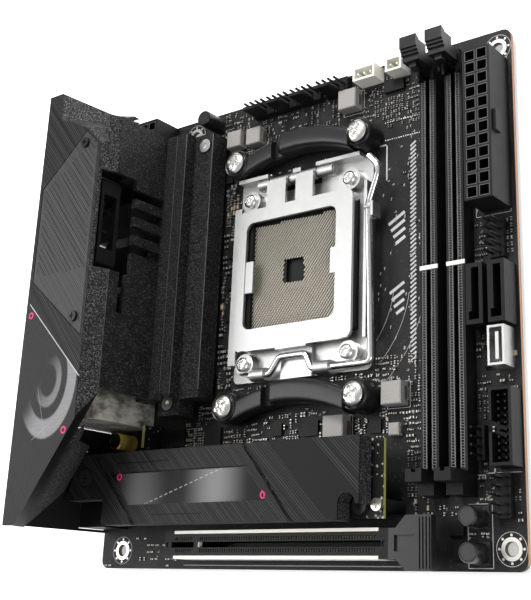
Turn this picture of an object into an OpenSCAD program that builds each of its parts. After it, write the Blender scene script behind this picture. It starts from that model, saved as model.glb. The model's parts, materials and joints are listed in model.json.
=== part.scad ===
// Small-form-factor computer motherboard, built as separate pieces.
// Origin: centre of the rear left mounting hole, on the underside of the circuit board.
// +X runs from the rear connectors to the front edge, +Y from the expansion slot to the
// far edge, +Z away from the component side. All sizes are in millimetres.

/* [Circuit board] */
// length of the board from rear to front
board_x = 170; // [160:0.5:190]
// width of the board across the slot and the memory
board_y = 170; // [170:0.5:190]
// thickness of the circuit board
pcb_t = 1.6; // [1.2:0.1:2.4]
// radius of the board's corners
corner_r = 3; // [1:0.5:4]
// radius of the mounting holes
hole_r = 1.98; // [1.6:0.01:2.4]
// rear left mounting hole, distance from the rear edge
datum_x = 10.16;
// rear left mounting hole, distance from the slot edge
datum_y = 6.17;
// distance between the two holes along the slot edge
hole_span_x = 154.94;
// distance between the slot edge holes and the far edge holes
hole_span_y = 157.48;
// set-back of the far rear hole from the near rear hole
hole_step_x = 22.86;

/* [Processor socket] */
// socket centre from the rear edge
socket_x = 88.9;
// socket centre from the slot edge
socket_y = 97.9;
// width of the load plate
plate_w = 49.5; // [47:0.5:51]
// length of the load plate from lip to hinge side
plate_l = 52; // [50:0.5:53]
// height of the load plate's top face above the board
plate_top = 6.3; // [6:0.1:7]
// thickness of the load plate
plate_t = 1.2; // [0.8:0.1:1.5]
// diameter of the lever's wire
wire_d = 2.4; // [1.8:0.1:2.6]
// diameter of the load plate's hinge pin
hinge_pin_d = 2; // [1.6:0.1:2.4]
// radial clearance of pins and shafts in their bores
run_fit = 0.05; // [0.03:0.01:0.09]

/* [Cooler brackets] */
// distance between cooler screws along the board
cooler_x = 54;
// distance between cooler screws across the board
cooler_y = 90;
// height of the cooler bracket bosses
bracket_h = 8.6; // [7.5:0.1:9.5]
// radius of the cooler bracket bosses
boss_r = 5.4; // [4.8:0.1:5.6]

/* [Memory slots] */
// length of a memory slot
dimm_l = 128.5; // [110:0.5:129]
// height of a memory slot's body
dimm_h = 6.5; // [5.5:0.1:8]
// width of a memory slot's body
dimm_w = 6.2; // [5.8:0.1:6.6]
// distance between the two memory slots
dimm_pitch = 9.55; // [8:0.05:9.6]
// height of the fixed tower at a memory slot's end
dimm_tower_h = 16; // [12:0.5:18]
// how far a memory latch swings open, in degrees
dimm_swing = 26;

/* [Expansion slot] */
// length of the expansion slot's body
pcie_l = 89.4; // [85:0.2:90]
// height of the expansion slot's body
pcie_h = 11.25; // [10:0.25:12.5]
// width of the expansion slot's body
pcie_w = 8.8; // [8.4:0.1:9.4]

/* [Rear cover] */
// height of the rear cover's top above the board
cover_top = 46; // [46:0.5:52]
// wall thickness of the rear cover
cover_wall = 1.6; // [1.2:0.1:2]
// distance from the board's rear edge to the heatsink wall's face
wall_x = 32.5; // [32.5:0.1:33.5]
// angle of the undercut end face of the cover
undercut = 26; // [20:1:28]
// diameter of the fan's blade circle
fan_d = 25; // [20:0.5:26]
// number of fan blades
fan_blades = 9;

/* [Drive heatsink] */
// height of the drive heatsink's top above the board
drive_top = 20.5; // [20:0.1:22]
// thickness of the drive heatsink
drive_t = 6.4; // [5:0.1:6.8]
// thickness of the drive carrier board
carrier_t = 1; // [0.8:0.1:1.2]

/* [Power connectors] */
// distance between contacts in the power connectors
power_pitch = 4.2; // [4:0.05:4.25]
// height of the power connectors
power_h = 12.8; // [11:0.2:15]

/* [Hidden] */
$fn = 48;

rear_x = -1;
cover_y0 = 12;
cover_y1 = 171;
cover_skirt = 21;
wire_r = wire_d / 2;
lever_y = socket_y - 34.2;
lever_z = 4.2;
lever_arm_x = socket_x + 30.9;
// heads of the frame screws, kept clear of the turning wire
torx_head_r = 3.7 - wire_r;
plate_hinge_y = socket_y + 36.1;
plate_hinge_z = 3;
plate_x0 = socket_x - 25.4;
plate_x1 = plate_x0 + plate_w;
plate_y0 = socket_y - 25.9;
plate_y1 = plate_y0 + plate_l;
window_x0 = socket_x - 21.9;
window_x1 = socket_x + 17.4;
window_y0 = socket_y - 18.2;
window_y1 = socket_y + 21.1;
dimm_xa = 142.5;
dimm_xb = dimm_xa + dimm_pitch;
dimm_y0 = 27.7;
dimm_y1 = dimm_y0 + dimm_l;
pcie_x0 = 41.8;
pcie_x1 = pcie_x0 + pcie_l;
pcie_y = 7.35;
drive_y0 = 13.5;
drive_y1 = 38;
drive_x1 = 126.8;
carrier_z = drive_top - drive_t - 1.6 - carrier_t;
fan_x = 14.4;
fan_y = 117.5;
fan_z = 33;
fan_axle_r = 1;

black = [0.05, 0.05, 0.055];
coal = [0.12, 0.12, 0.13];
steel = [0.78, 0.78, 0.78];
dark_metal = [0.16, 0.16, 0.17];

// ---- helpers ----

// moves a drawing from the board's corner, top face, into the part's own frame
module on_board() {
  translate([-datum_x, -datum_y, pcb_t]) children();
}

// block between two values on each axis
module box(x0, x1, y0, y1, z0, z1) {
  translate([x0, y0, z0]) cube([x1 - x0, y1 - y0, z1 - z0]);
}

// upright round post
module post(x, y, z0, z1, r) {
  translate([x, y, z0]) cylinder(h = z1 - z0, r = r);
}

// rectangle with round corners
module round_rect(x0, x1, y0, y1, r) {
  translate([x0 + r, y0]) square([x1 - x0 - 2 * r, y1 - y0]);
  translate([x0, y0 + r]) square([x1 - x0, y1 - y0 - 2 * r]);
  for (x = [x0 + r, x1 - r])
    for (y = [y0 + r, y1 - r])
      translate([x, y]) circle(r);
}

module round_box(x0, x1, y0, y1, z0, z1, r) {
  translate([0, 0, z0]) linear_extrude(z1 - z0) round_rect(x0, x1, y0, y1, r);
}

// everything on the outer side of a plane through p with normal n
module beyond(p, n) {
  s = 400;
  m = norm(n);
  translate(p)
    rotate([0, acos(n[2] / m), atan2(n[1], n[0])])
      translate([-s / 2, -s / 2, 0]) cube([s, s, s]);
}

// point p moved a distance g against the normal n
function inward(p, n, g) = p - g * n / norm(n);

// outline moved inward by d, for a polygon listed anticlockwise with no reflex corner
function edge_dir(a, b) = (b - a) / norm(b - a);
function inset_corner(a, b, c, d) =
  let (u = edge_dir(a, b), v = edge_dir(b, c), k = u[0] * v[1] - u[1] * v[0])
  b + d * (v - u) / k;
function inset(p, d) =
  [for (i = [0 : len(p) - 1])
    inset_corner(p[(i + len(p) - 1) % len(p)], p[i], p[(i + 1) % len(p)], d)];

// the four places of a rectangular pattern around the socket centre
module socket_pattern(dx, dy) {
  for (sx = [-1, 1])
    for (sy = [-1, 1])
      translate([socket_x + sx * dx, socket_y + sy * dy, 0]) children();
}

// the four mounting hole places
mount_holes = [[datum_x, datum_y], [datum_x + hole_span_x, datum_y],
  [datum_x + hole_span_x, datum_y + hole_span_y],
  [datum_x + hole_step_x, datum_y + hole_span_y]];

// next ring of a bent wire: the last ring slid along d onto the plane through q with normal n
function slide_ring(ring, d, q, n) = [for (p = ring) p + d * ((q - p) * n) / (d * n)];
function heading(points, i) = edge_dir(points[i], points[i + 1]);
function mitre(points, i) =
  i == len(points) - 1 ? heading(points, i - 1) : heading(points, i - 1) + heading(points, i);
function next_rings(points, rings, i) =
  i == len(points) ? rings
  : next_rings(points, concat(rings, [slide_ring(rings[i - 1], heading(points, i - 1),
      points[i], mitre(points, i))]), i + 1);

// round wire along a list of points with mitred bends; it starts along X
module wire(points, r) {
  n = 12;
  first = [for (k = [0 : n - 1])
    points[0] + [0, r * cos(k * 360 / n), r * sin(k * 360 / n)]];
  rings = next_rings(points, [first], 1);
  m = len(points);
  polyhedron(
    points = [for (ring = rings) for (p = ring) p],
    faces = concat(
      [[for (k = [0 : n - 1]) n - 1 - k]],
      [[for (k = [0 : n - 1]) (m - 1) * n + k]],
      [for (i = [0 : m - 2]) for (k = [0 : n - 1])
        [i * n + k, i * n + (k + 1) % n, (i + 1) * n + (k + 1) % n, (i + 1) * n + k]]));
}

// ---- circuit board and underside ----

module pcb() {
  color(black) on_board() translate([0, 0, -pcb_t]) linear_extrude(pcb_t) difference() {
    round_rect(0, board_x, 0, board_y, corner_r);
    for (p = mount_holes)
      translate(p) circle(hole_r);
    for (sx = [-1, 1])
      for (sy = [-1, 1]) {
        translate([socket_x + sx * cooler_x / 2, socket_y + sy * cooler_y / 2]) circle(2);
        translate([socket_x + sx * 21.8, socket_y + sy * 30.2]) circle(1.9);
      }
  }
}

// ends of through-hole pins below the board
module solder_pins() {
  color(steel) on_board() translate([0, 0, -pcb_t - 1.6]) {
    for (i = [0 : 11])
      for (j = [0 : 1])
        translate([161.6 + j * 4.2, 110.1 + i * power_pitch, 0])
          cylinder(h = 1.6, r = 0.7, $fn = 12);
    for (i = [0 : 3])
      for (j = [0 : 1])
        translate([8.4 + i * power_pitch, 162.2 + j * 4.2, 0])
          cylinder(h = 1.6, r = 0.7, $fn = 12);
    for (i = [0 : 20])
      translate([pcie_x0 + 4 + i * 4, pcie_y, 0]) cylinder(h = 1.6, r = 0.5, $fn = 12);
    for (y = [16, 30, 52, 62, 70, 78, 88, 98, 106, 114, 124, 132])
      translate([3, y, 0]) cylinder(h = 1.6, r = 0.8, $fn = 12);
  }
}

module socket_backplate() {
  color(dark_metal) on_board() translate([0, 0, -pcb_t - 2.2]) linear_extrude(2.2)
    difference() {
      union() {
        round_rect(socket_x - 33, socket_x + 33, socket_y - 34, socket_y + 34, 4);
        round_rect(socket_x - 33, socket_x + 33, socket_y - 51, socket_y - 38, 4);
        round_rect(socket_x - 33, socket_x + 33, socket_y + 38, socket_y + 51, 4);
        translate([socket_x - 27, socket_y - 45]) square([10, 90]);
        translate([socket_x + 17, socket_y - 45]) square([10, 90]);
      }
      round_rect(socket_x - 14, socket_x + 14, socket_y - 12, socket_y + 12, 3);
      for (sx = [-1, 1])
        for (sy = [-1, 1]) {
          translate([socket_x + sx * cooler_x / 2, socket_y + sy * cooler_y / 2])
            circle(1.75);
          translate([socket_x + sx * 21.8, socket_y + sy * 30.2]) circle(1.65);
        }
    }
}

// ---- processor socket ----

module socket_housing() {
  color([0.09, 0.09, 0.095]) on_board() difference() {
    round_box(socket_x - 22.6, socket_x + 23.4, socket_y - 22, socket_y + 23, 0, 4.4, 1);
    box(socket_x - 20.4, socket_x + 19.6, socket_y - 20, socket_y + 21, 2.6, 5);
    box(socket_x - 6, socket_x + 5, socket_y - 5, socket_y + 6, 1.2, 3);
  }
}

// rows of spring contacts that the processor rests on
module socket_contacts() {
  color([0.72, 0.62, 0.42]) on_board()
    for (i = [0 : 41]) {
      y = socket_y - 18.8 + i * 0.94;
      mid = abs(y + 0.2 - socket_y - 0.5) < 6.4;
      if (mid) {
        box(socket_x - 19.6, socket_x - 6.6, y, y + 0.4, 2.6, 3.1);
        box(socket_x + 5.6, socket_x + 18.8, y, y + 0.4, 2.6, 3.1);
      }
      if (!mid) box(socket_x - 19.6, socket_x + 18.8, y, y + 0.4, 2.6, 3.1);
    }
}

frame_x0 = socket_x - 28.9;
frame_x1 = socket_x + 29.1;
frame_y0 = socket_y - 35.9;
frame_y1 = socket_y + 39.1;
ear_xs = [[socket_x - 18.9, socket_x - 13.9], [socket_x - 4.4, socket_x - 0.9],
  [socket_x + 7.6, socket_x + 14.1]];

// fixed steel frame with hinge ears, lever tabs and lever hook
module socket_frame() {
  color(steel) on_board() difference() {
    union() {
      difference() {
        round_box(frame_x0, frame_x1, frame_y0, frame_y1, 0, 1.2, 2);
        box(socket_x - 22.9, socket_x + 23.7, socket_y - 22.3, socket_y + 23.3, -1, 3);
        box(socket_x - 13.7, socket_x + 7.4, plate_hinge_y - 3.4, frame_y1 - 1.4, -1, 3);
      }
      // left and right side walls
      box(frame_x0, frame_x0 + 1.2, socket_y - 30, socket_y + 28, 0, 5);
      box(frame_x0, frame_x0 + 3.3, socket_y - 30, socket_y + 28, 3.8, 5);
      box(frame_x1 - 1.2, frame_x1, socket_y - 26, socket_y + 28, 0, 5);
      // upright edges behind the hinge
      box(socket_x - 27.4, socket_x - 13.9, frame_y1 - 1.4, frame_y1, 0, 5.4);
      box(socket_x + 7.6, socket_x + 26.1, frame_y1 - 1.4, frame_y1, 0, 5.4);
      // hinge ears
      for (e = ear_xs)
        translate([e[0], plate_hinge_y, plate_hinge_z]) rotate([0, 90, 0])
          cylinder(h = e[1] - e[0], r = 2);
      for (e = ear_xs)
        box(e[0], e[1], plate_hinge_y - 2, plate_hinge_y + 3.8, 0, plate_hinge_z);
      // screw bosses
      socket_pattern(21.8, 30.2) cylinder(h = 4.3, r = 3.9);
      // lever bearings: two arches over the wire
      for (e = [[socket_x - 17.9, socket_x - 11.9], [socket_x + 9.1, socket_x + 15.1]]) {
        translate([e[0], lever_y, lever_z]) rotate([0, 90, 0])
          cylinder(h = e[1] - e[0], r = 2.2);
        box(e[0], e[1], lever_y - 2.2, lever_y + 2.2, 0, lever_z);
      }
      // hook that holds the lever's arm down
      box(frame_x1 - 1, lever_arm_x + 1.9, socket_y + 13.6, socket_y + 18.6, 4, 5);
      box(lever_arm_x + 1.9, lever_arm_x + 2.9, socket_y + 13.6, socket_y + 18.6, 4, 8.6);
    }
    // bores
    socket_pattern(21.8, 30.2) translate([0, 0, -1]) cylinder(h = 8, r = 1.65);
    translate([frame_x0 - 5, plate_hinge_y, plate_hinge_z]) rotate([0, 90, 0])
      cylinder(h = 80, r = hinge_pin_d / 2 + 0.01);
    translate([socket_x - 25, lever_y, lever_z]) rotate([0, 90, 0])
      cylinder(h = 50, r = wire_r + run_fit);
  }
}

// torx screws of the socket frame, through the board into the backplate
module socket_screws() {
  color(steel) on_board() socket_pattern(21.8, 30.2) difference() {
    union() {
      translate([0, 0, -pcb_t - 2]) cylinder(h = 4.3 + pcb_t + 2, r = 1.5);
      translate([0, 0, 4.3]) cylinder(h = 2, r = torx_head_r);
    }
    translate([0, 0, 5.2]) cylinder(h = 3, r = 1.7, $fn = 6);
  }
}

// hinged plate that presses on the processor
module load_plate() {
  z0 = plate_top - plate_t;
  color(steel) on_board() difference() {
    union() {
      difference() {
        round_box(plate_x0, plate_x1, plate_y0, plate_y1, z0, plate_top, 3);
        round_box(window_x0, window_x1, window_y0, window_y1, z0 - 1, plate_top + 1, 3);
      }
      // pressing tabs inside the window
      box(window_x0 - 1, window_x0 + 3.5, socket_y - 4.9, socket_y + 6.6, z0, plate_top - 0.3);
      box(window_x1 - 2.3, window_x1 + 1, socket_y - 2.9, socket_y + 6.1, z0, plate_top - 0.3);
      // hinge arms
      for (e = [[socket_x - 13.4, socket_x - 4.9], [socket_x - 0.4, socket_x + 7.1]]) {
        box(e[0], e[1], plate_y1 - 1, plate_hinge_y - 1.2, z0, plate_top);
        box(e[0], e[1], plate_hinge_y - 2.6, plate_hinge_y - 0.2, plate_hinge_z, plate_top);
        translate([e[0], plate_hinge_y, plate_hinge_z]) rotate([0, 90, 0])
          cylinder(h = e[1] - e[0], r = 2);
      }
      // lip that the lever's crank holds down
      box(socket_x - 6.9, socket_x + 6.1, plate_y0 - 0.7, plate_y0 + 0.5, 1.4, plate_top);
      box(socket_x - 6.9, socket_x + 6.1, lever_y - 2, plate_y0 - 0.2, 1.4, 2.6);
    }
    // relief around the two near frame screws
    for (sx = [-1, 1])
      translate([socket_x + sx * 21.8, socket_y - 30.2, 0]) cylinder(h = 10, r = 4.6);
    for (sx = [-1, 1])
      translate([socket_x + sx * 21.8, socket_y + 30.2, 0]) cylinder(h = 10, r = 4.6);
    translate([socket_x - 30, plate_hinge_y, plate_hinge_z]) rotate([0, 90, 0])
      cylinder(h = 60, r = hinge_pin_d / 2 + run_fit);
  }
}

module load_plate_hinge_pin() {
  color([0.6, 0.6, 0.6]) on_board()
    translate([ear_xs[0][0] - 0.3, plate_hinge_y, plate_hinge_z]) rotate([0, 90, 0])
      cylinder(h = ear_xs[2][1] - ear_xs[0][0] + 0.6, r = hinge_pin_d / 2);
}

// bent wire lever: foot, crank, long arm and thumb hook
module socket_lever() {
  c = [socket_x - 8.3, socket_x + 6.6];
  x = lever_arm_x;
  y = lever_y;
  z = lever_z;
  color([0.85, 0.85, 0.85]) on_board() wire([
    [socket_x - 18.9, y, z],
    [c[0] - 2.6, y, z],
    [c[0] - 1.4, y + 0.9, z],
    [c[0] + 1.4, y + 4.6, z],
    [c[0] + 2.8, y + 5.4, z],
    [c[1] - 2.8, y + 5.4, z],
    [c[1] - 1.6, y + 4.6, z],
    [c[1] + 0.4, y + 0.9, z],
    [c[1] + 1.6, y, z],
    [x - 1.8, y, z],
    [x - 0.5, y + 0.5, z],
    [x, y + 1.8, z + 0.2],
    [x, socket_y + 18.1, 6.6],
    [x + 0.5, socket_y + 19.6, 6.7],
    [x + 3.7, socket_y + 27.2, 7.4],
    [x + 4.2, socket_y + 29.4, 7.5],
    [x + 3.8, socket_y + 31.6, 7.6],
    [x + 0.7, socket_y + 35.4, 7.8]], wire_r);
}

// ---- cooler brackets ----

// one bracket: two bosses, a low hook between them and a raised beam
module cooler_bracket(y) {
  x0 = socket_x - cooler_x / 2;
  x1 = socket_x + cooler_x / 2;
  bow = 60;
  difference() {
    union() {
      for (x = [x0, x1])
        post(x, y, 0, bracket_h, boss_r);
      // left arm and low hook
      translate([0, 0, 2]) linear_extrude(bracket_h - 2.6) intersection() {
        beam_outline(x0, x1, y, bow);
        translate([x0, y - 20]) square([14.5, 40]);
      }
      translate([0, 0, 1]) linear_extrude(4.6) intersection() {
        beam_outline(x0, x1, y, bow);
        translate([x0 + 10, y - 20]) square([12, 40]);
      }
      // raised beam
      translate([0, 0, 1.5]) linear_extrude(bracket_h + 0.4) intersection() {
        beam_outline(x0, x1, y, bow);
        translate([x0 + 19.5, y - 20]) square([x1 - x0 - 24, 40]);
      }
    }
    for (x = [x0, x1]) {
      post(x, y, -1, 20, 1.75);
      post(x, y, bracket_h - 0.8, 20, 4.5);
    }
  }
}

// bowed strip between the two bosses, one side hollow and one side full
module beam_outline(x0, x1, y, bow) {
  xm = (x0 + x1) / 2;
  difference() {
    translate([xm, y + 7.2 - bow]) circle(bow, $fn = 96);
    translate([xm, y - 0.6 - bow]) circle(bow, $fn = 96);
    translate([xm - 100, y - 200]) square([200, 196]);
    translate([x0 - 50, y - 50]) square([50, 100]);
    translate([x1, y - 50]) square([50, 100]);
  }
}

module cooler_bracket_top() {
  color(coal) on_board() cooler_bracket(socket_y + cooler_y / 2);
}

module cooler_bracket_bottom() {
  color(coal) on_board() cooler_bracket(socket_y - cooler_y / 2);
}

// cross-recess pan screws of the brackets
module cooler_bracket_screws() {
  z = bracket_h - 0.8;
  color(steel) on_board() socket_pattern(cooler_x / 2, cooler_y / 2) difference() {
    union() {
      translate([0, 0, -pcb_t - 2]) cylinder(h = z + pcb_t + 2, r = 1.6);
      translate([0, 0, z]) cylinder(h = 2.4, r = 4);
    }
    translate([-2.2, -0.45, z + 1.3]) cube([4.4, 0.9, 3]);
    translate([-0.45, -2.2, z + 1.3]) cube([0.9, 4.4, 3]);
  }
}

// ---- memory slots ----

module dimm_slot(x) {
  w = dimm_w / 2;
  difference() {
    union() {
      box(x - w, x + w, dimm_y0, dimm_y1, 0, dimm_h);
      // fixed tower with its card groove
      box(x - w + 0.4, x + w - 0.4, dimm_y0 - 6.9, dimm_y0 + 0.1, 0, dimm_h + 2.5);
      box(x - w + 0.4, x + w - 0.4, dimm_y0 - 3.6, dimm_y0 + 0.1, 0, dimm_tower_h);
      // cheeks that carry the latch
      box(x - w, x - 2.1, dimm_y1 - 1, dimm_y1 + 7, 0, 8.2);
      box(x + 2.1, x + w, dimm_y1 - 1, dimm_y1 + 7, 0, 8.2);
      box(x - w, x + w, dimm_y1, dimm_y1 + 7, 0, 0.8);
    }
    // card slot and its key
    box(x - 0.75, x + 0.75, dimm_y0 - 0.9, dimm_y0 + 62.3, 1.2, 20);
    box(x - 0.75, x + 0.75, dimm_y0 + 64, dimm_y1 + 1, 1.2, 20);
    box(x - 0.75, x + 0.75, dimm_y0 + 62, dimm_y0 + 64.1, 5.6, 20);
    // channels beside the card slot that show the contacts
    for (s = [-1, 1])
      for (part = [[1.5, 61], [65.5, dimm_l - 1.5]])
        translate([x + s * 1.75 - 0.6, dimm_y0 + part[0], dimm_h - 1.2])
          cube([1.2, part[1] - part[0], 3]);
    translate([x - 5, dimm_y1 + 3.6, 4.4]) rotate([0, 90, 0])
      cylinder(h = 10, r = 0.8 + 0.01);
  }
}

// swinging latch with ejector foot and ribbed grip
module dimm_latch(x) {
  y = dimm_y1 + 3.6;
  z = 4.4;
  difference() {
    union() {
      translate([x - 1.9, y, z]) rotate([0, 90, 0]) cylinder(h = 3.8, r = 2.2);
      box(x - 1.9, x + 1.9, y - 1.6, y + 2.2, z, 12.8);
      box(x - 3.1, x + 3.1, y - 1.6, y + 2.2, 9.4, 12.8);
      box(x - 3.1, x + 3.1, y - 1.6, y + 5.2, 12.8, 17.2);
      // stepped grip
      box(x - 3.1, x + 3.1, y + 0.4, y + 5.8, 17.2, 18);
      box(x - 3.1, x + 3.1, y + 1.4, y + 6.2, 18, 18.7);
      box(x - 3.1, x + 3.1, y + 2.4, y + 6.6, 18.7, 19.3);
      // hook over the card's notch
      box(x - 1.3, x + 1.3, y - 3.3, y - 1.4, 13.5, 16);
    }
    box(x - 0.8, x + 0.8, y - 4, y - 0.4, 9.6, 13.2);
    translate([x - 5, y, z]) rotate([0, 90, 0]) cylinder(h = 10, r = 0.8 + run_fit);
  }
}

module dimm_slot_a() {
  color(black) on_board() dimm_slot(dimm_xa);
}

module dimm_slot_b() {
  color(black) on_board() dimm_slot(dimm_xb);
}

module dimm_latch_a() {
  color(coal) on_board() dimm_latch(dimm_xa);
}

module dimm_latch_b() {
  color(coal) on_board() dimm_latch(dimm_xb);
}

module dimm_latch_pins() {
  color(steel) on_board()
    for (x = [dimm_xa, dimm_xb])
      translate([x - dimm_w / 2, dimm_y1 + 3.6, 4.4]) rotate([0, 90, 0])
        cylinder(h = dimm_w, r = 0.8);
}

// ---- expansion slot ----

rail_x0 = pcie_x0 + 4.3;
rail_x1 = pcie_x1 - 3.4;

module pcie_slot_body() {
  w = pcie_w / 2;
  color(black) on_board() difference() {
    union() {
      box(pcie_x0, pcie_x1, pcie_y - w, pcie_y + w, 0, pcie_h);
      // bearings of the card latch
      box(pcie_x1 - 1, pcie_x1 + 4.2, pcie_y - w, pcie_y - w + 1.6, 0, 5.6);
      box(pcie_x1 - 1, pcie_x1 + 4.2, pcie_y + w - 1.6, pcie_y + w, 0, 5.6);
      box(pcie_x1 - 1, pcie_x1 + 4.2, pcie_y - w, pcie_y + w, 0, 0.6);
    }
    // card slot in two parts, with the key between them
    box(rail_x0 - 1.2, pcie_x0 + 13.1, pcie_y - 0.9, pcie_y + 0.9, 2.4, 20);
    box(pcie_x0 + 15, rail_x1 + 0.8, pcie_y - 0.9, pcie_y + 0.9, 2.4, 20);
    // channels beside the card slot that show the contacts
    for (s = [-1, 1]) {
      box(rail_x0 + 0.6, pcie_x0 + 12.4, pcie_y + s * 1.9 - 0.5, pcie_y + s * 1.9 + 0.5,
        pcie_h - 1.6, 20);
      box(pcie_x0 + 15.7, rail_x1 - 0.8, pcie_y + s * 1.9 - 0.5, pcie_y + s * 1.9 + 0.5,
        pcie_h - 1.6, 20);
    }
    // seats of the steel rails
    for (s = [-1, 1])
      box(rail_x0, rail_x1, min(pcie_y + s * 3.5, pcie_y + s * 10),
        max(pcie_y + s * 3.5, pcie_y + s * 10), 1, pcie_h + 1);
    // anchor marks
    post(pcie_x0 + 1.5, pcie_y, pcie_h - 0.4, 20, 0.9);
    post(pcie_x1 - 1.5, pcie_y, pcie_h - 0.4, 20, 0.9);
    translate([pcie_x1 + 2.2, pcie_y - 10, 3]) rotate([-90, 0, 0])
      cylinder(h = 20, r = 0.8 + 0.01);
  }
}

// steel reinforcement along both sides of the slot
module pcie_slot_rails() {
  color(steel) on_board()
    for (s = [-1, 1]) {
      y0 = pcie_y + (s > 0 ? 3.5 : -4.5);
      box(rail_x0, rail_x1, y0, y0 + 1, 1, pcie_h + 0.15);
    }
}

// latch that grips the end of an expansion card
module pcie_latch() {
  x = pcie_x1 + 2.2;
  color(coal) on_board() difference() {
    union() {
      translate([x, pcie_y - 2.6, 3]) rotate([-90, 0, 0]) cylinder(h = 5.2, r = 1.8);
      box(x - 1.2, x + 1.6, pcie_y - 2.6, pcie_y + 2.6, 3, 11);
      // widening paddle
      translate([0, 0, 9]) linear_extrude(3) polygon([
        [pcie_x1 + 0.4, pcie_y - 4.3], [pcie_x1 + 2.8, pcie_y - 4.3],
        [pcie_x1 + 6.2, pcie_y - 7.7], [pcie_x1 + 14.8, pcie_y - 7.7],
        [pcie_x1 + 14.8, pcie_y + 7.9], [pcie_x1 + 6.2, pcie_y + 7.9],
        [pcie_x1 + 2.8, pcie_y + 4.3], [pcie_x1 + 0.4, pcie_y + 4.3]]);
      // ribs of the grip
      for (i = [0 : 3])
        box(pcie_x1 + 10.4 + i * 1.1, pcie_x1 + 11 + i * 1.1, pcie_y - 7, pcie_y + 7.2,
          11.9, 12.4);
    }
    box(pcie_x1 + 2.4, pcie_x1 + 9.4, pcie_y - 2.3, pcie_y + 2.3, 11.2, 15);
    translate([x, pcie_y - 10, 3]) rotate([-90, 0, 0]) cylinder(h = 20, r = 0.8 + run_fit);
  }
}

module pcie_latch_pin() {
  color(steel) on_board()
    translate([pcie_x1 + 2.2, pcie_y - pcie_w / 2, 3]) rotate([-90, 0, 0])
      cylinder(h = pcie_w, r = 0.8);
}

// ---- power connectors ----

// shrouded power header with a grid of chimneys; n along Y if upright, else along X
module power_shell(n, m) {
  l = n * power_pitch + 0.8;
  w = m * power_pitch + 1.2;
  difference() {
    cube([w, l, power_h]);
    for (i = [0 : n - 1])
      for (j = [0 : m - 1]) {
        translate([0.6 + 0.45 + j * power_pitch, 0.4 + 0.45 + i * power_pitch, 1.5])
          cube([3.3, 3.3, 20]);
      }
  }
  // ramp that the plug's clip snaps over
  translate([w, l / 2 - 3.5, power_h - 5]) cube([1, 7, 3.4]);
}

module atx_power_header() {
  color(black) on_board() translate([158.9, 107.6, 0]) power_shell(12, 2);
}

module eps_power_header() {
  color(black) on_board() translate([5.9, 169.2, 0]) rotate([0, 0, -90])
    power_shell(4, 2);
}

module power_pins() {
  color([0.75, 0.68, 0.5]) on_board() {
    for (i = [0 : 11])
      for (j = [0 : 1])
        translate([161.6 - 0.5 + j * power_pitch, 110.1 - 0.5 + i * power_pitch, 1.5])
          cube([1, 1, 7]);
    for (i = [0 : 3])
      for (j = [0 : 1])
        translate([8.4 - 0.5 + i * power_pitch, 162.2 - 0.5 + j * power_pitch, 1.5])
          cube([1, 1, 7]);
  }
}

// ---- rear cover ----

bevel_n = [7, 0, 2.5];
bevel_p = [wall_x, 0, cover_top - 7];
end_a = [6.5, 160, cover_top];
end_b = [22, 153, cover_top];
end_c = [29, 146, cover_top];
end_d = [30.5, 158, cover_top - 14];
face_ab = -cross(end_d - end_a, end_b - end_a);
face_bc = -cross(end_d - end_b, end_c - end_b);
face_ramp = [14, 0, 24];
face_far = [13, 24.5, 0];
cut_p = [5, cover_y0, cover_top];
cut_n = [0.806 * cos(undercut), -0.592 * cos(undercut), -sin(undercut)];

// the cover's outer body, or its hollow when g is the wall thickness
module cover_body(g, z0, x0) {
  difference() {
    box(x0, wall_x - g, cover_y0 - 2 * g, 165, z0, cover_top - g);
    beyond(inward(bevel_p, bevel_n, g), bevel_n);
    beyond(inward(end_a, face_ab, g), face_ab);
    beyond(inward(end_b, face_bc, g), face_bc);
    beyond(inward(cut_p, cut_n, g), cut_n);
  }
  difference() {
    box(x0, wall_x - g, 148, cover_y1 - g, z0, cover_top - g);
    beyond(inward(bevel_p, bevel_n, g), bevel_n);
    beyond(inward(end_a, face_ramp, g), face_ramp);
    beyond(inward([6, cover_y1, 0], face_far, g), face_far);
  }
}

vent_outline = [[0.6, 97], [29, 74], [28.6, 145.6], [22, 152], [0.6, 133]];

module io_cover() {
  color(coal) on_board() difference() {
    cover_body(0, cover_skirt, rear_x);
    cover_body(cover_wall, cover_skirt - 5, rear_x - 20);
    // the heatsink wall takes over below the bevel
    box(20, 60, -10, 158.2, 0, cover_top - 7);
    // way to the processor power header under the ramp
    box(24, 60, 150, 180, 0, cover_top - 16);
    // room for the rear plate and for the tall network connector
    box(rear_x - 5, rear_x + 0.7, 0, 200, 0, cover_top - 4.65);
    box(rear_x, 60, 41, 100, 0, 32.5);
    // window in the bevelled edge, beside the fan
    box(29.2, 60, 99, 135.5, 0, cover_top - 1);
    // seat and opening of the vent panel
    translate([0, 0, cover_top - 0.8]) linear_extrude(5) polygon(vent_outline);
    translate([0, 0, cover_top - 5]) linear_extrude(10) polygon(inset(vent_outline, 1.3));
  }
  // strip that the vent panel and the heatsink's top edge rest on
  color(coal) on_board() {
    box(rear_x, rear_x + 1.2, cover_y0 + 0.4, cover_y1 - 1, cover_top - 4.6, cover_top - 1);
    // far end of the bevel and the web that closes the cover below it
    translate([0, 157.4, 0]) rotate([90, 0, 0]) linear_extrude(20.4) polygon([
      [wall_x - 2.1, cover_top - 2.8], [wall_x - 3.1, cover_top - 3.4],
      [wall_x - 1.3, cover_top - 7], [wall_x, cover_top - 7]]);
    box(23, wall_x - 1, 144, 157.4, cover_top - 7, cover_top - 6);
  }
}

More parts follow.
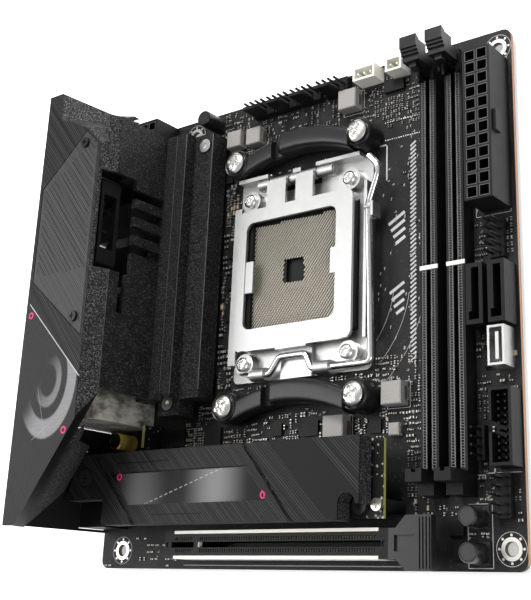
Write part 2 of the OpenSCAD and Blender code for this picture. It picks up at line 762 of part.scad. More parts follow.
// perforated panel over the fan
module io_vent_plate() {
  color(coal) on_board() difference() {
    translate([0, 0, cover_top - 0.8]) linear_extrude(0.8)
      polygon(inset(vent_outline, 0.15));
    for (i = [0 : 12])
      for (j = [0 : 7]) {
        x = 3.4 + j * 3.05;
        y = 97.5 + i * 3.4 + j * 1.3;
        if (x < 27)
          translate([x, y, cover_top - 2]) rotate([0, 0, 40])
            translate([-0.4, -1, 0]) cube([0.8, 2, 4]);
      }
    translate([22, 147, cover_top - 3]) cylinder(h = 6, r = 0.95);
    translate([24.5, 81.5, cover_top - 3]) cylinder(h = 6, r = 0.95);
  }
}

// small black screws of the vent panel
module cover_screws() {
  color([0.03, 0.03, 0.03]) on_board()
    for (p = [[22, 147], [24.5, 81.5]])
      translate([p[0], p[1], 0]) difference() {
        union() {
          translate([0, 0, cover_top - 0.7]) cylinder(h = 0.7, r = 0.85);
          translate([0, 0, cover_top]) cylinder(h = 0.9, r = 1.9);
        }
        translate([-1.1, -0.25, cover_top + 0.4]) cube([2.2, 0.5, 2]);
        translate([-0.25, -1.1, cover_top + 0.4]) cube([0.5, 2.2, 2]);
      }
}

// thin metal plate behind the board with an opening for every connector
module io_shield() {
  color([0.2, 0.2, 0.21]) on_board() difference() {
    box(rear_x, rear_x + 0.6, cover_y0 + 0.4, cover_y1 - 1, -1.2, cover_top - 4.7);
    for (o = io_openings)
      box(rear_x - 2, rear_x + 2, o[0] - 0.25, o[1] + 0.25, o[2] - 0.25, o[3] + 0.25);
    for (p = jack_spots)
      translate([rear_x - 2, p[0], p[1]]) rotate([0, 90, 0]) cylinder(h = 5, r = 4.3);
    translate([rear_x - 2, button_y, button_z]) rotate([0, 90, 0])
      cylinder(h = 5, r = 2.1 + run_fit);
  }
}

// rear connector faces: y from, y to, z from, z to
io_openings = [[13.6, 26.6, 0, 12.2], [27.6, 40.6, 0, 12.2], [49, 65, 0.3, 31],
  [67.5, 81.5, 0.3, 16.2], [84, 98, 0.3, 16.2], [67.5, 81.5, 17.4, 32.2],
  [101, 117, 0.3, 15.2], [120, 134, 0.3, 16.2]];
jack_spots = [[151.5, 28], [164.5, 35.5]];
button_y = 142;
button_z = 12;

// ---- heatsink over the voltage regulators ----

vrm_y0 = 57;
vrm_y1 = 157.6;

module vrm_heatsink() {
  x = wall_x;
  color(dark_metal) on_board() difference() {
    union() {
      translate([0, vrm_y1, 0]) rotate([90, 0, 0]) linear_extrude(vrm_y1 - vrm_y0)
        polygon([[x - 8.5, 7.2], [x + 10, 7.2], [x + 10, 2], [x + 18.8, 2], [x + 18.8, 10],
          [x + 10, 10], [x + 10, 15], [x, 15], [x, cover_top - 7], [x - 1.8, cover_top - 7],
          [x - 1.8, 13], [x - 8.5, 13]]);
      // inner fins
      for (i = [0 : 7])
        box(x - 8.5, x - 1.7, vrm_y0 + 3 + i * 4.4, vrm_y0 + 4 + i * 4.4, 12.5, 30);
      for (i = [0 : 4])
        box(x - 8.5, x - 1.7, 136.5 + i * 4.4, 137.5 + i * 4.4, 12.5, 30);
      // foot with its screw
      box(x + 0.1, x + 10.2, 51.6, vrm_y0 + 2, 2, 10);
    }
    // window beside the fan and four exhaust slots under it
    box(x - 3, x + 1, 99, 135.5, 29, 60);
    for (i = [0 : 3])
      translate([x - 3, 128.6 - i * 7, 14.6]) cube([4, 3.4, 14.6]);
    // narrow slot
    box(x - 3, x + 1, 84.5, 100, 31, 34);
    // screw holes
    post(47.8, 152.7, 0, 20, 1.7);
    post(37.4, 56, 0, 20, 1.7);
    post(47.8, 152.7, 9, 20, 3);
    post(37.4, 56, 9, 20, 3);
  }
}

module heatsink_screws() {
  color([0.5, 0.5, 0.5]) on_board()
    for (p = [[47.8, 152.7], [37.4, 56]])
      translate([p[0], p[1], 0]) difference() {
        union() {
          cylinder(h = 9, r = 1.4);
          translate([0, 0, 9]) cylinder(h = 1.6, r = 2.6);
        }
        translate([0, 0, 9.8]) cylinder(h = 3, r = 1, $fn = 6);
      }
}

// row of square coils under the heatsink
module vrm_chokes() {
  color([0.35, 0.35, 0.35]) on_board()
    for (i = [0 : 9])
      box(wall_x - 5, wall_x + 4, 62 + i * 9.4, 70.4 + i * 9.4, 0, 7);
}

module fan_frame() {
  r = fan_d / 2 + 0.8;
  color([0.1, 0.1, 0.105]) on_board() {
    difference() {
      round_box(fan_x - 14.1, fan_x + 14.1, fan_y - 16.5, fan_y + 16.5, fan_z, fan_z + 9, 2);
      post(fan_x, fan_y, fan_z - 1, fan_z + 20, r);
      // outlet towards the window
      box(fan_x + 4, fan_x + 20, fan_y - 10, fan_y + 10, fan_z + 1.6, fan_z + 7.6);
    }
    // hub holder and its arms
    post(fan_x, fan_y, fan_z, fan_z + 1, 5);
    for (i = [0 : 2])
      translate([fan_x, fan_y, fan_z]) rotate([0, 0, i * 120 + 60])
        translate([0, -0.8, 0]) cube([r + 0.6, 1.6, 1]);
    post(fan_x, fan_y, fan_z, fan_z + 6, fan_axle_r);
  }
}

module fan_rotor() {
  color([0.08, 0.08, 0.085]) on_board() difference() {
    union() {
      post(fan_x, fan_y, fan_z + 1.4, fan_z + 7.6, 6);
      for (i = [0 : fan_blades - 1])
        translate([fan_x, fan_y, fan_z + 1.8]) rotate([0, 0, i * 360 / fan_blades])
          translate([5, -0.35, 0]) rotate([0, 0, -24]) cube([fan_d / 2 - 5.5, 0.7, 5.2]);
    }
    post(fan_x, fan_y, fan_z, fan_z + 6.4, fan_axle_r + run_fit);
  }
}

// ---- rear connectors ----

// metal shelled connector with mouths on its rear face
module metal_jack(y0, y1, z0, z1, x1, mouths, tongues = 9) {
  difference() {
    box(rear_x - 0.6, x1, y0, y1, z0, z1);
    for (m = mouths)
      box(rear_x - 2, rear_x + 9, m[0], m[1], m[2], m[3]);
  }
  for (i = [0 : min(tongues, len(mouths)) - 1]) {
    m = mouths[i];
    box(rear_x + 0.5, rear_x + 9.1, m[0] + 1, m[1] - 1, (m[2] + m[3]) / 2 - 0.8,
      (m[2] + m[3]) / 2 + 0.8);
  }
}

module lan_usb_stack() {
  color(steel) on_board()
    metal_jack(49, 65, 0.3, 31, 21.5,
      [[50.6, 63.4, 2, 7], [50.6, 63.4, 9, 14], [51, 63, 17, 29]], 2);
}

module usb_stacks() {
  color(steel) on_board() {
    for (y = [67.5, 84, 120])
      metal_jack(y, y + 14, 0.3, 16.2, 17, [[y + 0.8, y + 13.2, 1.8, 6.8],
        [y + 0.8, y + 13.2, 9.4, 14.4]]);
    metal_jack(67.5, 81.5, 17.4, 32.2, 17, [[68.3, 80.7, 19, 24], [68.3, 80.7, 26, 31]]);
  }
}

module display_ports() {
  color(steel) on_board()
    metal_jack(101, 117, 0.3, 15.2, 17, [[102, 116, 2, 7], [102, 116, 9, 13.6]]);
}

module audio_jacks() {
  color(black) on_board()
    for (y = [13.6, 27.6])
      difference() {
        box(rear_x - 0.6, 12, y, y + 13, 0, 12.2);
        translate([rear_x - 2, y + 6.5, 6.1]) rotate([0, 90, 0]) cylinder(h = 12, r = 1.8);
        translate([rear_x - 2, y + 6.5, 6.1]) rotate([0, 90, 0]) cylinder(h = 2.2, r = 3);
      }
}

// round threaded antenna connectors on a small block
module antenna_jacks() {
  color([0.6, 0.6, 0.58]) on_board() {
    for (p = jack_spots)
      translate([rear_x + 0.65, p[0], p[1]]) rotate([0, -90, 0]) difference() {
        union() {
          cylinder(h = 8, r = 3.1);
          cylinder(h = 2.4, r = 4, $fn = 6);
        }
        translate([0, 0, 3]) cylinder(h = 6, r = 2.2);
      }
    box(rear_x + 0.65, rear_x + 4, 146, 169.4, 22, 39.6);
  }
}

// push button on the rear plate
module flashback_button() {
  color([0.2, 0.2, 0.2]) on_board() {
    translate([rear_x - 1.2, button_y, button_z]) rotate([0, 90, 0])
      cylinder(h = 5, r = 2.1);
    translate([rear_x + 0.7, button_y, button_z]) rotate([0, 90, 0])
      cylinder(h = 1, r = 2.8);
  }
}

// ---- drive heatsink, carrier and chipset ----

module m2_outline() {
  polygon([[0, 22.6], [21.3, 13.5], [drive_x1, 13.5], [drive_x1, drive_y1],
    [6.5, drive_y1]]);
}

module m2_heatsink() {
  color(coal) on_board() difference() {
    translate([0, 0, drive_top - drive_t]) linear_extrude(drive_t) difference() {
      m2_outline();
      // step beside the tab
      translate([-5, 8]) square([24.5, 14.2]);
      // notch around the front screw
      translate([119.2, 13]) square([7.8, 5.2]);
      translate([122.3, 18.2]) circle(3.1);
    }
    // two deep slanting grooves
    for (g = [[13, 36.5], [81, 103.5]])
      translate([0, 0, drive_top - 1.6]) linear_extrude(5)
        polygon([[g[0] - 0.8, drive_y1 + 1], [g[1] - 0.8, 12], [g[1] + 0.8, 12],
          [g[0] + 0.8, drive_y1 + 1]]);
    // shallow band along the middle
    translate([0, 0, drive_top - 0.5]) linear_extrude(5)
      polygon([[22.5, 31], [32, 20.4], [92, 20.4], [83.5, 31]]);
    post(9.8, 29.9, 0, 30, 1.7);
    post(9.8, 29.9, drive_top - 1.2, 30, 3.4);
  }
}

module m2_screws() {
  z = carrier_z + carrier_t;
  color(steel) on_board() {
    difference() {
      union() {
        post(9.8, 29.9, drive_top - drive_t - 1, drive_top - 1.2, 1.4);
        post(9.8, 29.9, drive_top - 1.2, drive_top + 0.6, 3);
      }
      translate([8.1, 29.5, drive_top - 0.2]) cube([3.4, 0.8, 3]);
      translate([9.4, 28.2, drive_top - 0.2]) cube([0.8, 3.4, 3]);
    }
    for (p = [[128.4, 18.3], [122.3, 18.2]])
      difference() {
        post(p[0], p[1], z, z + 1.3, p[0] > 125 ? 1.9 : 2.6);
        translate([p[0] - 1.2, p[1] - 0.25, z + 0.7]) cube([2.4, 0.5, 2]);
        translate([p[0] - 0.25, p[1] - 1.2, z + 0.7]) cube([0.5, 2.4, 2]);
      }
  }
}

// circuit board that carries the drive, raised above the main board
module m2_carrier_board() {
  color(black) on_board()
    box(20.5, 130.4, 14.3, 37.9, carrier_z, carrier_z + carrier_t);
}

// soft pad between the carrier and the heatsink
module m2_thermal_pad() {
  color([0.5, 0.5, 0.52]) on_board()
    box(30, 112, 15.5, 36.5, carrier_z + carrier_t, drive_top - drive_t);
}

module m2_standoffs() {
  color([0.08, 0.08, 0.08]) on_board() {
    post(128.2, 18.3, 0, carrier_z, 2.2);
    post(25, 35, 0, carrier_z, 2.2);
    post(9.8, 29.9, 12.2, drive_top - drive_t - 1, 3);
    // moulded bracket between the audio block and the heatsink tab
    box(2, 16, 24, 36, 12.2, drive_top - drive_t - 1);
  }
}

// board-to-board connector and drive edge socket
module m2_sockets() {
  color([0.07, 0.07, 0.07]) on_board() {
    box(112, 117.5, 15, 37, 0, carrier_z);
    box(113, 118.5, 15, 37, carrier_z + carrier_t, drive_top - drive_t);
  }
}

module chipset() {
  color([0.1, 0.2, 0.12]) on_board() {
    box(76, 96, 16.2, 36.2, 0, 1.1);
    box(81, 91, 21.2, 31.2, 1.1, 1.9);
  }
}

module chipset_heatsink() {
  color(dark_metal) on_board() {
    box(70, 104, 15.4, 37, 1.9, 4.4);
    for (i = [0 : 7])
      box(70, 104, 15.4 + i * 2.9, 16.7 + i * 2.9, 4.3, 8.4);
  }
}

// ---- headers and small parts ----

// open-topped box header with two rows of pins
module box_header(x0, x1, y0, y1, h, wall) {
  difference() {
    box(x0, x1, y0, y1, 0, h);
    box(x0 + wall, x1 - wall, y0 + wall, y1 - wall, 1.4, h + 1);
  }
}

module usb3_header() {
  color(black) on_board() {
    difference() {
      box_header(162.4, 169.6, 28.6, 51.1, 7, 0.9);
      box(161, 163.6, 38, 41.5, 1.4, 10);
    }
    for (i = [0 : 9])
      for (j = [0 : 1])
        box(164.6 + j * 2.2, 165.2 + j * 2.2, 30.6 + i * 2, 31.2 + i * 2, 1.4, 5.8);
  }
}

module usb_c_header() {
  color(steel) on_board() difference() {
    box(162.5, 168, 57.5, 69.5, 0, 7);
    box(163.2, 167.3, 58.2, 68.8, 1.2, 8);
    box(164.8, 165.8, 58.2, 68.8, 1.2, 1.3);
  }
  color(black) on_board() box(164.7, 165.8, 59.4, 67.6, 1.2, 6.2);
}

module sata_ports() {
  color(black) on_board()
    for (x = [156.3, 163.6])
      difference() {
        box(x, x + 5.6, 70.2, 89.2, 0, 8.2);
        box(x + 1.9, x + 4.4, 71.6, 87.8, 1.6, 9);
        box(x + 0.9, x + 2, 71.6, 74.2, 1.6, 9);
      }
}

fan_header_spots = [[69.6, 4], [80.2, 4], [91, 4], [102.6, 4]];

// fan headers: base, key wall and pins
module fan_headers() {
  color(black) on_board()
    for (h = fan_header_spots) {
      n = h[1];
      w = n * 2.54 - 0.1;
      box(h[0] - w / 2, h[0] + w / 2, 162.6, 168.4, 0, 3.2);
      box(h[0] - w / 2 + 1.2, h[0] + w / 2 - 3.4, 162.6, 163.8, 3.1, 10.6);
      for (i = [0 : n - 1])
        box(h[0] - w / 2 + 1 + i * 2.54, h[0] - w / 2 + 1.64 + i * 2.54, 165.2, 165.84,
          3.1, 10);
    }
}

module white_headers() {
  color([0.9, 0.9, 0.86]) on_board()
    for (h = [[112.2, 3], [125.6, 2]]) {
      w = h[1] * 2.54 + 1.4;
      difference() {
        box(h[0], h[0] + w, 163.4, 168.6, 0, 6.4);
        box(h[0] + 0.8, h[0] + w - 0.8, 164.2, 167.8, 1.6, 7);
      }
      for (i = [0 : h[1] - 1])
        box(h[0] + 1.7 + i * 2.54, h[0] + 2.34 + i * 2.54, 165.6, 166.24, 1.6, 6);
    }
}

// plain pin strips: x, y, columns, rows
module pin_headers() {
  color(black) on_board()
    for (h = [[161.4, 14.4, 2, 5], [156, 31, 1, 4], [161.4, 91.8, 2, 5]]) {
      box(h[0], h[0] + h[2] * 2.54, h[1], h[1] + h[3] * 2.54, 0, 2.5);
      for (i = [0 : h[2] - 1])
        for (j = [0 : h[3] - 1])
          box(h[0] + 0.95 + i * 2.54, h[0] + 1.59 + i * 2.54, h[1] + 0.95 + j * 2.54,
            h[1] + 1.59 + j * 2.54, 2.4, 8.4);
    }
}

// aluminium can capacitor with a square foot
module can(x, y, r, h) {
  box(x - r - 0.3, x + r + 0.3, y - r - 0.3, y + r + 0.3, 0, 0.9);
  post(x, y, 0.8, h, r);
}

module electrolytic_capacitors() {
  color([0.08, 0.08, 0.08]) on_board() {
    can(155.3, 15, 3, 8.2);
    can(155.3, 5, 3, 8.2);
    can(45, 165.3, 3.1, 9.5);
  }
}

module audio_capacitor() {
  color([0.72, 0.56, 0.2]) on_board() can(10.8, 44.3, 3, 9);
}

inductor_spots = [[56.6, 155.6, 6.6, 6.6, 4.6], [66, 154.8, 6.6, 6.6, 4.6],
  [108.7, 158.5, 7.4, 7.4, 5], [127.6, 53, 7.4, 7.4, 5], [105.7, 43.6, 8, 8, 5],
  [127.2, 42, 4, 4, 2.6]];

module inductors() {
  color([0.62, 0.6, 0.57]) on_board()
    for (p = inductor_spots)
      box(p[0] - p[2] / 2, p[0] + p[2] / 2, p[1] - p[3] / 2, p[1] + p[3] / 2, 0, p[4]);
}

// black chip packages: x, y, size x, size y, height
chip_spots = [[126, 160.5, 8, 4, 1.4], [160, 61, 3.4, 5, 1.2], [148, 12, 5, 4, 1.2],
  [119.4, 43.6, 4.4, 4.4, 0.9], [94, 44.6, 6, 5, 0.9], [80, 45, 4, 4, 1], [51.6, 44, 7, 7, 1],
  [35, 45, 6, 6, 1], [52, 141, 5, 3, 1.2], [55.6, 100, 3, 5, 1], [55.6, 112, 3, 5, 1],
  [55.6, 88, 3, 5, 1], [148, 6, 4, 5, 1.2]];

module surface_chips() {
  color([0.07, 0.07, 0.07]) on_board()
    for (p = chip_spots)
      box(p[0] - p[2] / 2, p[0] + p[2] / 2, p[1] - p[3] / 2, p[1] + p[3] / 2, 0, p[4]);
}

// small upright card beside the drive heatsink
module debug_card() {
  color([0.1, 0.1, 0.1]) on_board()
    box(25.2, 26.4, 41, 49, 0, 9.5);
}

// ---- output ----

pcb();
solder_pins();
socket_backplate();
socket_housing();
socket_contacts();
socket_frame();
socket_screws();
load_plate();
load_plate_hinge_pin();
socket_lever();
cooler_bracket_top();
cooler_bracket_bottom();
cooler_bracket_screws();
dimm_slot_a();
dimm_slot_b();
dimm_latch_a();
dimm_latch_b();
dimm_latch_pins();
pcie_slot_body();
pcie_slot_rails();
pcie_latch();
pcie_latch_pin();
atx_power_header();
eps_power_header();
power_pins();
io_shield();
io_cover();
io_vent_plate();
cover_screws();
vrm_heatsink();
heatsink_screws();
vrm_chokes();
fan_frame();
fan_rotor();
lan_usb_stack();
usb_stacks();
display_ports();
audio_jacks();
antenna_jacks();
flashback_button();
m2_heatsink();
m2_screws();
m2_carrier_board();
m2_thermal_pad();
m2_standoffs();
m2_sockets();
chipset();
chipset_heatsink();
usb3_header();
usb_c_header();
sata_ports();
fan_headers();
white_headers();
pin_headers();
electrolytic_capacitors();
audio_capacitor();
inductors();
surface_chips();
debug_card();
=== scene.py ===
"""Looks of a small-form-factor computer motherboard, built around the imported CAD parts.

All lengths inside the shape functions are in millimetres, measured from the board's rear
slot-side corner with z = 0 on the component side; `put` moves them into the part's frame.
"""
import json
import math

import bpy
import numpy as np
from mathutils import Matrix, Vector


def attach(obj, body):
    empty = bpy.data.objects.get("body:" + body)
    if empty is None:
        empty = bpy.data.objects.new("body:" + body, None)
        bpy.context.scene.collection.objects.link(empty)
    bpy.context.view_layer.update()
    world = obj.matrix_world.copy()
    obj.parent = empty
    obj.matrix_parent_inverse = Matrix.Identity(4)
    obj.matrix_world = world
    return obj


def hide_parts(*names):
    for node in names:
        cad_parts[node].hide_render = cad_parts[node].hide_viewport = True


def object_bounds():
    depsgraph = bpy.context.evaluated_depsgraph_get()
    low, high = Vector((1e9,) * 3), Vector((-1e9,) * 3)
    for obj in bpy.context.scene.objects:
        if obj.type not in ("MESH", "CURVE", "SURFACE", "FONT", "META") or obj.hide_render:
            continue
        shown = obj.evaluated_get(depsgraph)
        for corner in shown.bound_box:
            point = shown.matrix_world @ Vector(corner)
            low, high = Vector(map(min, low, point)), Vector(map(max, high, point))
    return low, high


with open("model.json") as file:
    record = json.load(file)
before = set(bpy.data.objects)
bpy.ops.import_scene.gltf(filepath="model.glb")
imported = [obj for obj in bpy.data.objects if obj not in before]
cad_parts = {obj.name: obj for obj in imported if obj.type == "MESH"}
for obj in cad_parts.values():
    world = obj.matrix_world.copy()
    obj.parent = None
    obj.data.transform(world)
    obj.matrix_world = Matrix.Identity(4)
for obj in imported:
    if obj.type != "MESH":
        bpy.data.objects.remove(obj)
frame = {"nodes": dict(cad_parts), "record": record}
cad_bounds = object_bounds()

# the part's origin is the near rear hole on the underside of the board
ORIGIN = np.array([10.16, 6.17, -1.6])
SOCKET = np.array([88.9, 97.9])      # middle of the processor socket
BOARD = 170.0
HOLES = [(10.16, 6.17), (165.1, 6.17), (165.1, 163.65), (33.02, 163.65)]
INK_Z, INK = 0.004, 0.03             # where printing lies, and how thick it is


# ---------------------------------------------------------------- shader helper

class Wire:
    """One output socket; + - * % abs and comparisons on it add Math nodes."""

    def __init__(self, finish, socket):
        self.finish = finish
        self.socket = socket

    def _math(self, operation, *others, swap=False):
        operands = [*others, self] if swap else [self, *others]
        node = self.finish.node("ShaderNodeMath", {"operation": operation},
                                dict(enumerate(operands)))
        return Wire(self.finish, node.outputs[0])

    def __add__(self, o): return self._math("ADD", o)
    def __radd__(self, o): return self._math("ADD", o)
    def __sub__(self, o): return self._math("SUBTRACT", o)
    def __rsub__(self, o): return self._math("SUBTRACT", o, swap=True)
    def __mul__(self, o): return self._math("MULTIPLY", o)
    def __rmul__(self, o): return self._math("MULTIPLY", o)
    def __mod__(self, o): return self._math("FLOORED_MODULO", o)
    def __lt__(self, o): return self._math("LESS_THAN", o)
    def __gt__(self, o): return self._math("GREATER_THAN", o)
    def __abs__(self): return self._math("ABSOLUTE")

    def root(self): return self._math("SQRT")
    def lower(self, o): return self._math("MINIMUM", o)
    def upper(self, o): return self._math("MAXIMUM", o)

    def ramp(self, low, high):
        """0 below low, 1 above high, a smooth step between."""
        node = self.finish.node("ShaderNodeMapRange", {"interpolation_type": "SMOOTHSTEP"},
                                {"Value": self, "From Min": low, "From Max": high})
        return Wire(self.finish, node.outputs[0])


class Finish:
    """A material under construction."""

    def __init__(self, name):
        self.material = bpy.data.materials.new(name)
        self.material.use_nodes = True
        self.tree = self.material.node_tree
        self.tree.nodes.clear()

    def node(self, kind, settings=None, inputs=None):
        """Any node: its settings first, then the values or links of its sockets."""
        node = self.tree.nodes.new(kind)
        for key, value in (settings or {}).items():
            setattr(node, key, value)
        for key, value in (inputs or {}).items():
            socket = node.inputs[key]
            if isinstance(value, Wire):
                self.tree.links.new(value.socket, socket)
            elif isinstance(value, (tuple, list)) and len(value) == 3 and socket.type == "RGBA":
                socket.default_value = (*value, 1.0)
            else:
                socket.default_value = value
        return node

    def out(self, node, name=0):
        return Wire(self, node.outputs[name])

    def place(self):
        """Object coordinates in millimetres from the board's corner: x, y, z and the vector."""
        coords = self.out(self.node("ShaderNodeTexCoord"), "Object")
        mapped = self.node("ShaderNodeMapping", {"vector_type": "POINT"},
                           {"Vector": coords, "Scale": (1000.0, 1000.0, 1000.0),
                            "Location": tuple(ORIGIN)})
        vector = self.out(mapped)
        split = self.node("ShaderNodeSeparateXYZ", None, {0: vector})
        return self.out(split, 0), self.out(split, 1), self.out(split, 2), vector

    def noise(self, vector, scale, detail=2.0, rough=0.5):
        return self.out(self.node("ShaderNodeTexNoise", None, {
            "Vector": vector, "Scale": scale, "Detail": detail, "Roughness": rough,
            "Distortion": 0.0}))

    def cells(self, vector, scale):
        """Distance to the nearest of many scattered points."""
        return self.out(self.node("ShaderNodeTexVoronoi", None, {
            "Vector": vector, "Scale": scale, "Randomness": 1.0}), "Distance")

    def stretch(self, vector, scale, turn=(0.0, 0.0, 0.0)):
        return self.out(self.node("ShaderNodeMapping", {"vector_type": "POINT"},
                                  {"Vector": vector, "Scale": scale, "Rotation": turn}))

    def blend(self, amount, a, b):
        """Colour a where amount is 0 and colour b where it is 1."""
        node = self.node("ShaderNodeMix", {"data_type": "RGBA"}, {"Factor": amount})
        for key, value in ((6, a), (7, b)):
            if isinstance(value, Wire):
                self.tree.links.new(value.socket, node.inputs[key])
            else:
                node.inputs[key].default_value = (*value, 1.0)
        return Wire(self, node.outputs[2])

    def bump(self, height, strength, distance):
        return self.out(self.node("ShaderNodeBump", None, {
            "Height": height, "Strength": strength, "Distance": distance}))

    def close(self, color, roughness, metallic=0.0, normal=None, specular=0.5, glow=0.0):
        """Joins the shader to its output and returns the material."""
        inputs = {"Base Color": color, "Roughness": roughness, "Metallic": metallic,
                  "Coat Weight": 0.0, "Coat Roughness": 0.1, "Specular IOR Level": specular}
        if normal is not None:
            inputs["Normal"] = normal
        if glow:
            inputs["Emission Color"] = (1.0, 1.0, 1.0)
            inputs["Emission Strength"] = glow
        shader = self.out(self.node("ShaderNodeBsdfPrincipled", None, inputs), "BSDF")
        self.node("ShaderNodeOutputMaterial", None, {"Surface": shader})
        return self.material


# ---------------------------------------------------------------- finishes

def solder_mask():
    """Satin black board: faint copper traces, vias, copper-coloured cut edge."""
    f = Finish("solder_mask")
    x, y, z, v = f.place()
    # traces: thin parallel lines in two diagonal families, shown inside large patches
    d1 = abs((x + y) * 0.7071 % 0.9 - 0.45)
    d2 = abs((x - y) * 0.7071 % 0.9 - 0.45)
    h = abs(y % 0.8 - 0.4)
    patch = f.noise(v, 0.06, 1.0)
    patch2 = f.noise(f.stretch(v, (1, 1, 1), (0, 0, 0.9)), 0.085, 1.0)
    lines = (1 - d1.ramp(0.08, 0.2)) * patch.ramp(0.52, 0.56)
    lines = lines.upper((1 - d2.ramp(0.08, 0.2)) * patch2.ramp(0.55, 0.58))
    lines = lines.upper((1 - h.ramp(0.08, 0.2)) * (1 - patch2.ramp(0.4, 0.43)))
    vias = 1 - f.cells(v, 0.5).ramp(0.16, 0.24)
    top = z.ramp(-0.2, -0.05)
    grain = f.noise(v, 3.0, 2.0)
    color = f.blend(lines * 0.55 * top, (0.0075, 0.0075, 0.008), (0.02, 0.02, 0.021))
    color = f.blend(vias * 0.35 * top, color, (0.05, 0.048, 0.045))
    # cut edge: fibre core between two dark faces, warm where copper shows
    edge = (1 - z.ramp(-0.22, -0.14)) * z.ramp(-1.5, -1.4)
    front = x.ramp(169.5, 169.9)
    warm = f.blend(front, (0.10, 0.085, 0.05), (0.45, 0.24, 0.13))
    color = f.blend(edge, color, warm)
    rough = 0.42 + grain * 0.16 - lines * 0.06
    normal = f.bump(lines * 0.5 + grain * 0.15 - vias * 0.6, 0.25, 0.00005)
    return f.close(color, rough, 0.0, normal, specular=0.22)


def grey(level):
    return (level,) * 3


def tinted(tone, factor):
    return tuple(c * factor for c in tone)


def speckle(f, v, dark, light, share):
    """Bead-blasted metal: bright grains of two sizes over a dark base, as colour and height."""
    fine = f.noise(v, 2.6, 1.0, 0.7)
    coarse = f.noise(v, 1.25, 2.0, 0.6)
    grains = fine.ramp(share, share + 0.16) * coarse.ramp(0.36, 0.6)
    color = f.blend(grains, dark, light)
    return color, grains, fine


def blasted(dark=0.009, light=0.1):
    """Bead-blasted black aluminium."""
    f = Finish("blasted_aluminium")
    v = f.place()[-1]
    color, grains, fine = speckle(f, v, grey(dark), (light, light, light * 1.02), 0.5)
    normal = f.bump(fine, 0.6, 0.0002)
    return f.close(color, 0.4 + grains * 0.2, 0.2, normal, specular=0.2)


COVER_TURN = 0.69       # direction across the rear cover's milled lines, radians


def milled_lines(f, x, y, pitch, turn, width=0.3):
    """Fine parallel lines at an angle, in bands of different strength."""
    along = x * math.cos(turn) + y * math.sin(turn)
    stripe = abs(along % pitch - pitch / 2)
    across = f.out(f.node("ShaderNodeCombineXYZ", None, {0: along * 0.55, 1: 0.0, 2: 0.0}))
    band = f.noise(across, 1.0, 2.0, 0.7)
    return (1 - stripe.ramp(pitch * 0.06, pitch * width)) * band.ramp(0.34, 0.66)


def hatched(name, base, line, pitch, turn=COVER_TURN):
    """Dark anodised aluminium with fine milled diagonal lines."""
    f = Finish(name)
    x, y, z, v = f.place()
    mark = milled_lines(f, x, y, pitch, turn)
    grain = f.noise(f.stretch(v, (1.0, 6.0, 1.0), (0, 0, turn)), 1.2, 3.0)
    color = f.blend(mark, (base, base, base * 1.03), grey(line))
    normal = f.bump(mark * 0.6 + grain * 0.3, 0.3, 0.00008)
    return f.close(color, 0.36 + grain * 0.18, 0.1, normal, specular=0.22)


def circle_line(x, y, cx, cy, radius, width):
    """1 on a thin circle, 0 elsewhere."""
    d = abs(((x - cx) * (x - cx) + (y - cy) * (y - cy)).root() - radius)
    return 1 - d.ramp(width * 0.6, width)


def between(v, low, high, soft=0.03):
    """1 from low to high, 0 outside."""
    return v.ramp(low - soft, low + soft) * (1 - v.ramp(high - soft, high + soft))


MAGENTA = (0.62, 0.035, 0.13)


def cover_finish():
    """Rear cover: milled lines on top, a glossy printed panel beyond a diagonal line with light
    emblem arcs partly painted as a sheen, coarse blasting on the sloping faces with painted
    shade past a slanted plane, two small magenta rings."""
    f = Finish("cover_finish")
    x, y, z, v = f.place()
    top = z.ramp(45.7, 45.85)
    mark = milled_lines(f, x, y, 0.7, COVER_TURN)
    blast, _, fine = speckle(f, v, grey(0.012), (0.15, 0.15, 0.155), 0.46)
    # painted shade: past this slanted plane the blasted faces are drawn plain near-black, as in
    # shadow
    undercut_shade = 1 - (x * 0.806 - y * 0.592 - z * 0.438).ramp(-23.9, -23.4)
    blast = f.blend(undercut_shade, grey(0.006), blast)
    panel = 1 - (y + x * 0.967).ramp(89.7, 89.9)
    line = between(y + x * 0.967, 89.2, 89.7) * x.ramp(0.4, 0.7)
    swirl = f.noise(f.stretch(v, (1, 1, 0), (0, 0, 0.8)), 0.09, 1.0, 0.4)
    streak = f.noise(f.stretch(v, (0.3, 6.0, 0), (0, 0, -0.35)), 0.5, 2.0)
    # light emblem arcs, faded and streaked across the panel as a painted sheen
    reach = ((x - 15) * (x - 15) + (y - 60) * (y - 60) * 0.5).root()
    emblem_and_sheen = (between(reach, 9.5, 14.0, 0.4) + between(reach, 4.0, 6.5, 0.4) * 0.7) \
        * (x * 0.8 - y * 0.6 + swirl * 10 + 24).ramp(0.0, 11.0)
    plain = f.blend(mark, (0.009, 0.009, 0.0095), (0.065, 0.065, 0.066))
    print_color = f.blend(mark * 0.5, grey(0.006), (0.035, 0.035, 0.036))
    print_color = f.blend(emblem_and_sheen * (0.5 + streak * 0.5), print_color, (0.27, 0.27, 0.28))
    face = f.blend(panel, plain, print_color)
    face = f.blend(line * 0.8, face, grey(0.5))
    trace = (between(y - x * 0.62, 34.0, 34.25) + between(x + y * 0.35, 30.0, 30.2)) \
        * between(y, 40, 58) * between(x, 3, 24)
    face = f.blend(trace.lower(1.0) * 0.6, face, grey(0.3))
    ring = circle_line(x, y, 1.9, 84.5, 0.95, 0.36).upper(
        circle_line(x, y, 25.0, 42.5, 1.0, 0.36))
    face = f.blend(ring, face, MAGENTA)
    color = f.blend(top, blast, face)
    rough = 0.45 - panel * top * 0.2
    normal = f.bump(fine * (1 - top) + mark * top * 0.4, 0.45, 0.00015)
    return f.close(color, rough, 0.0, normal, specular=0.1)


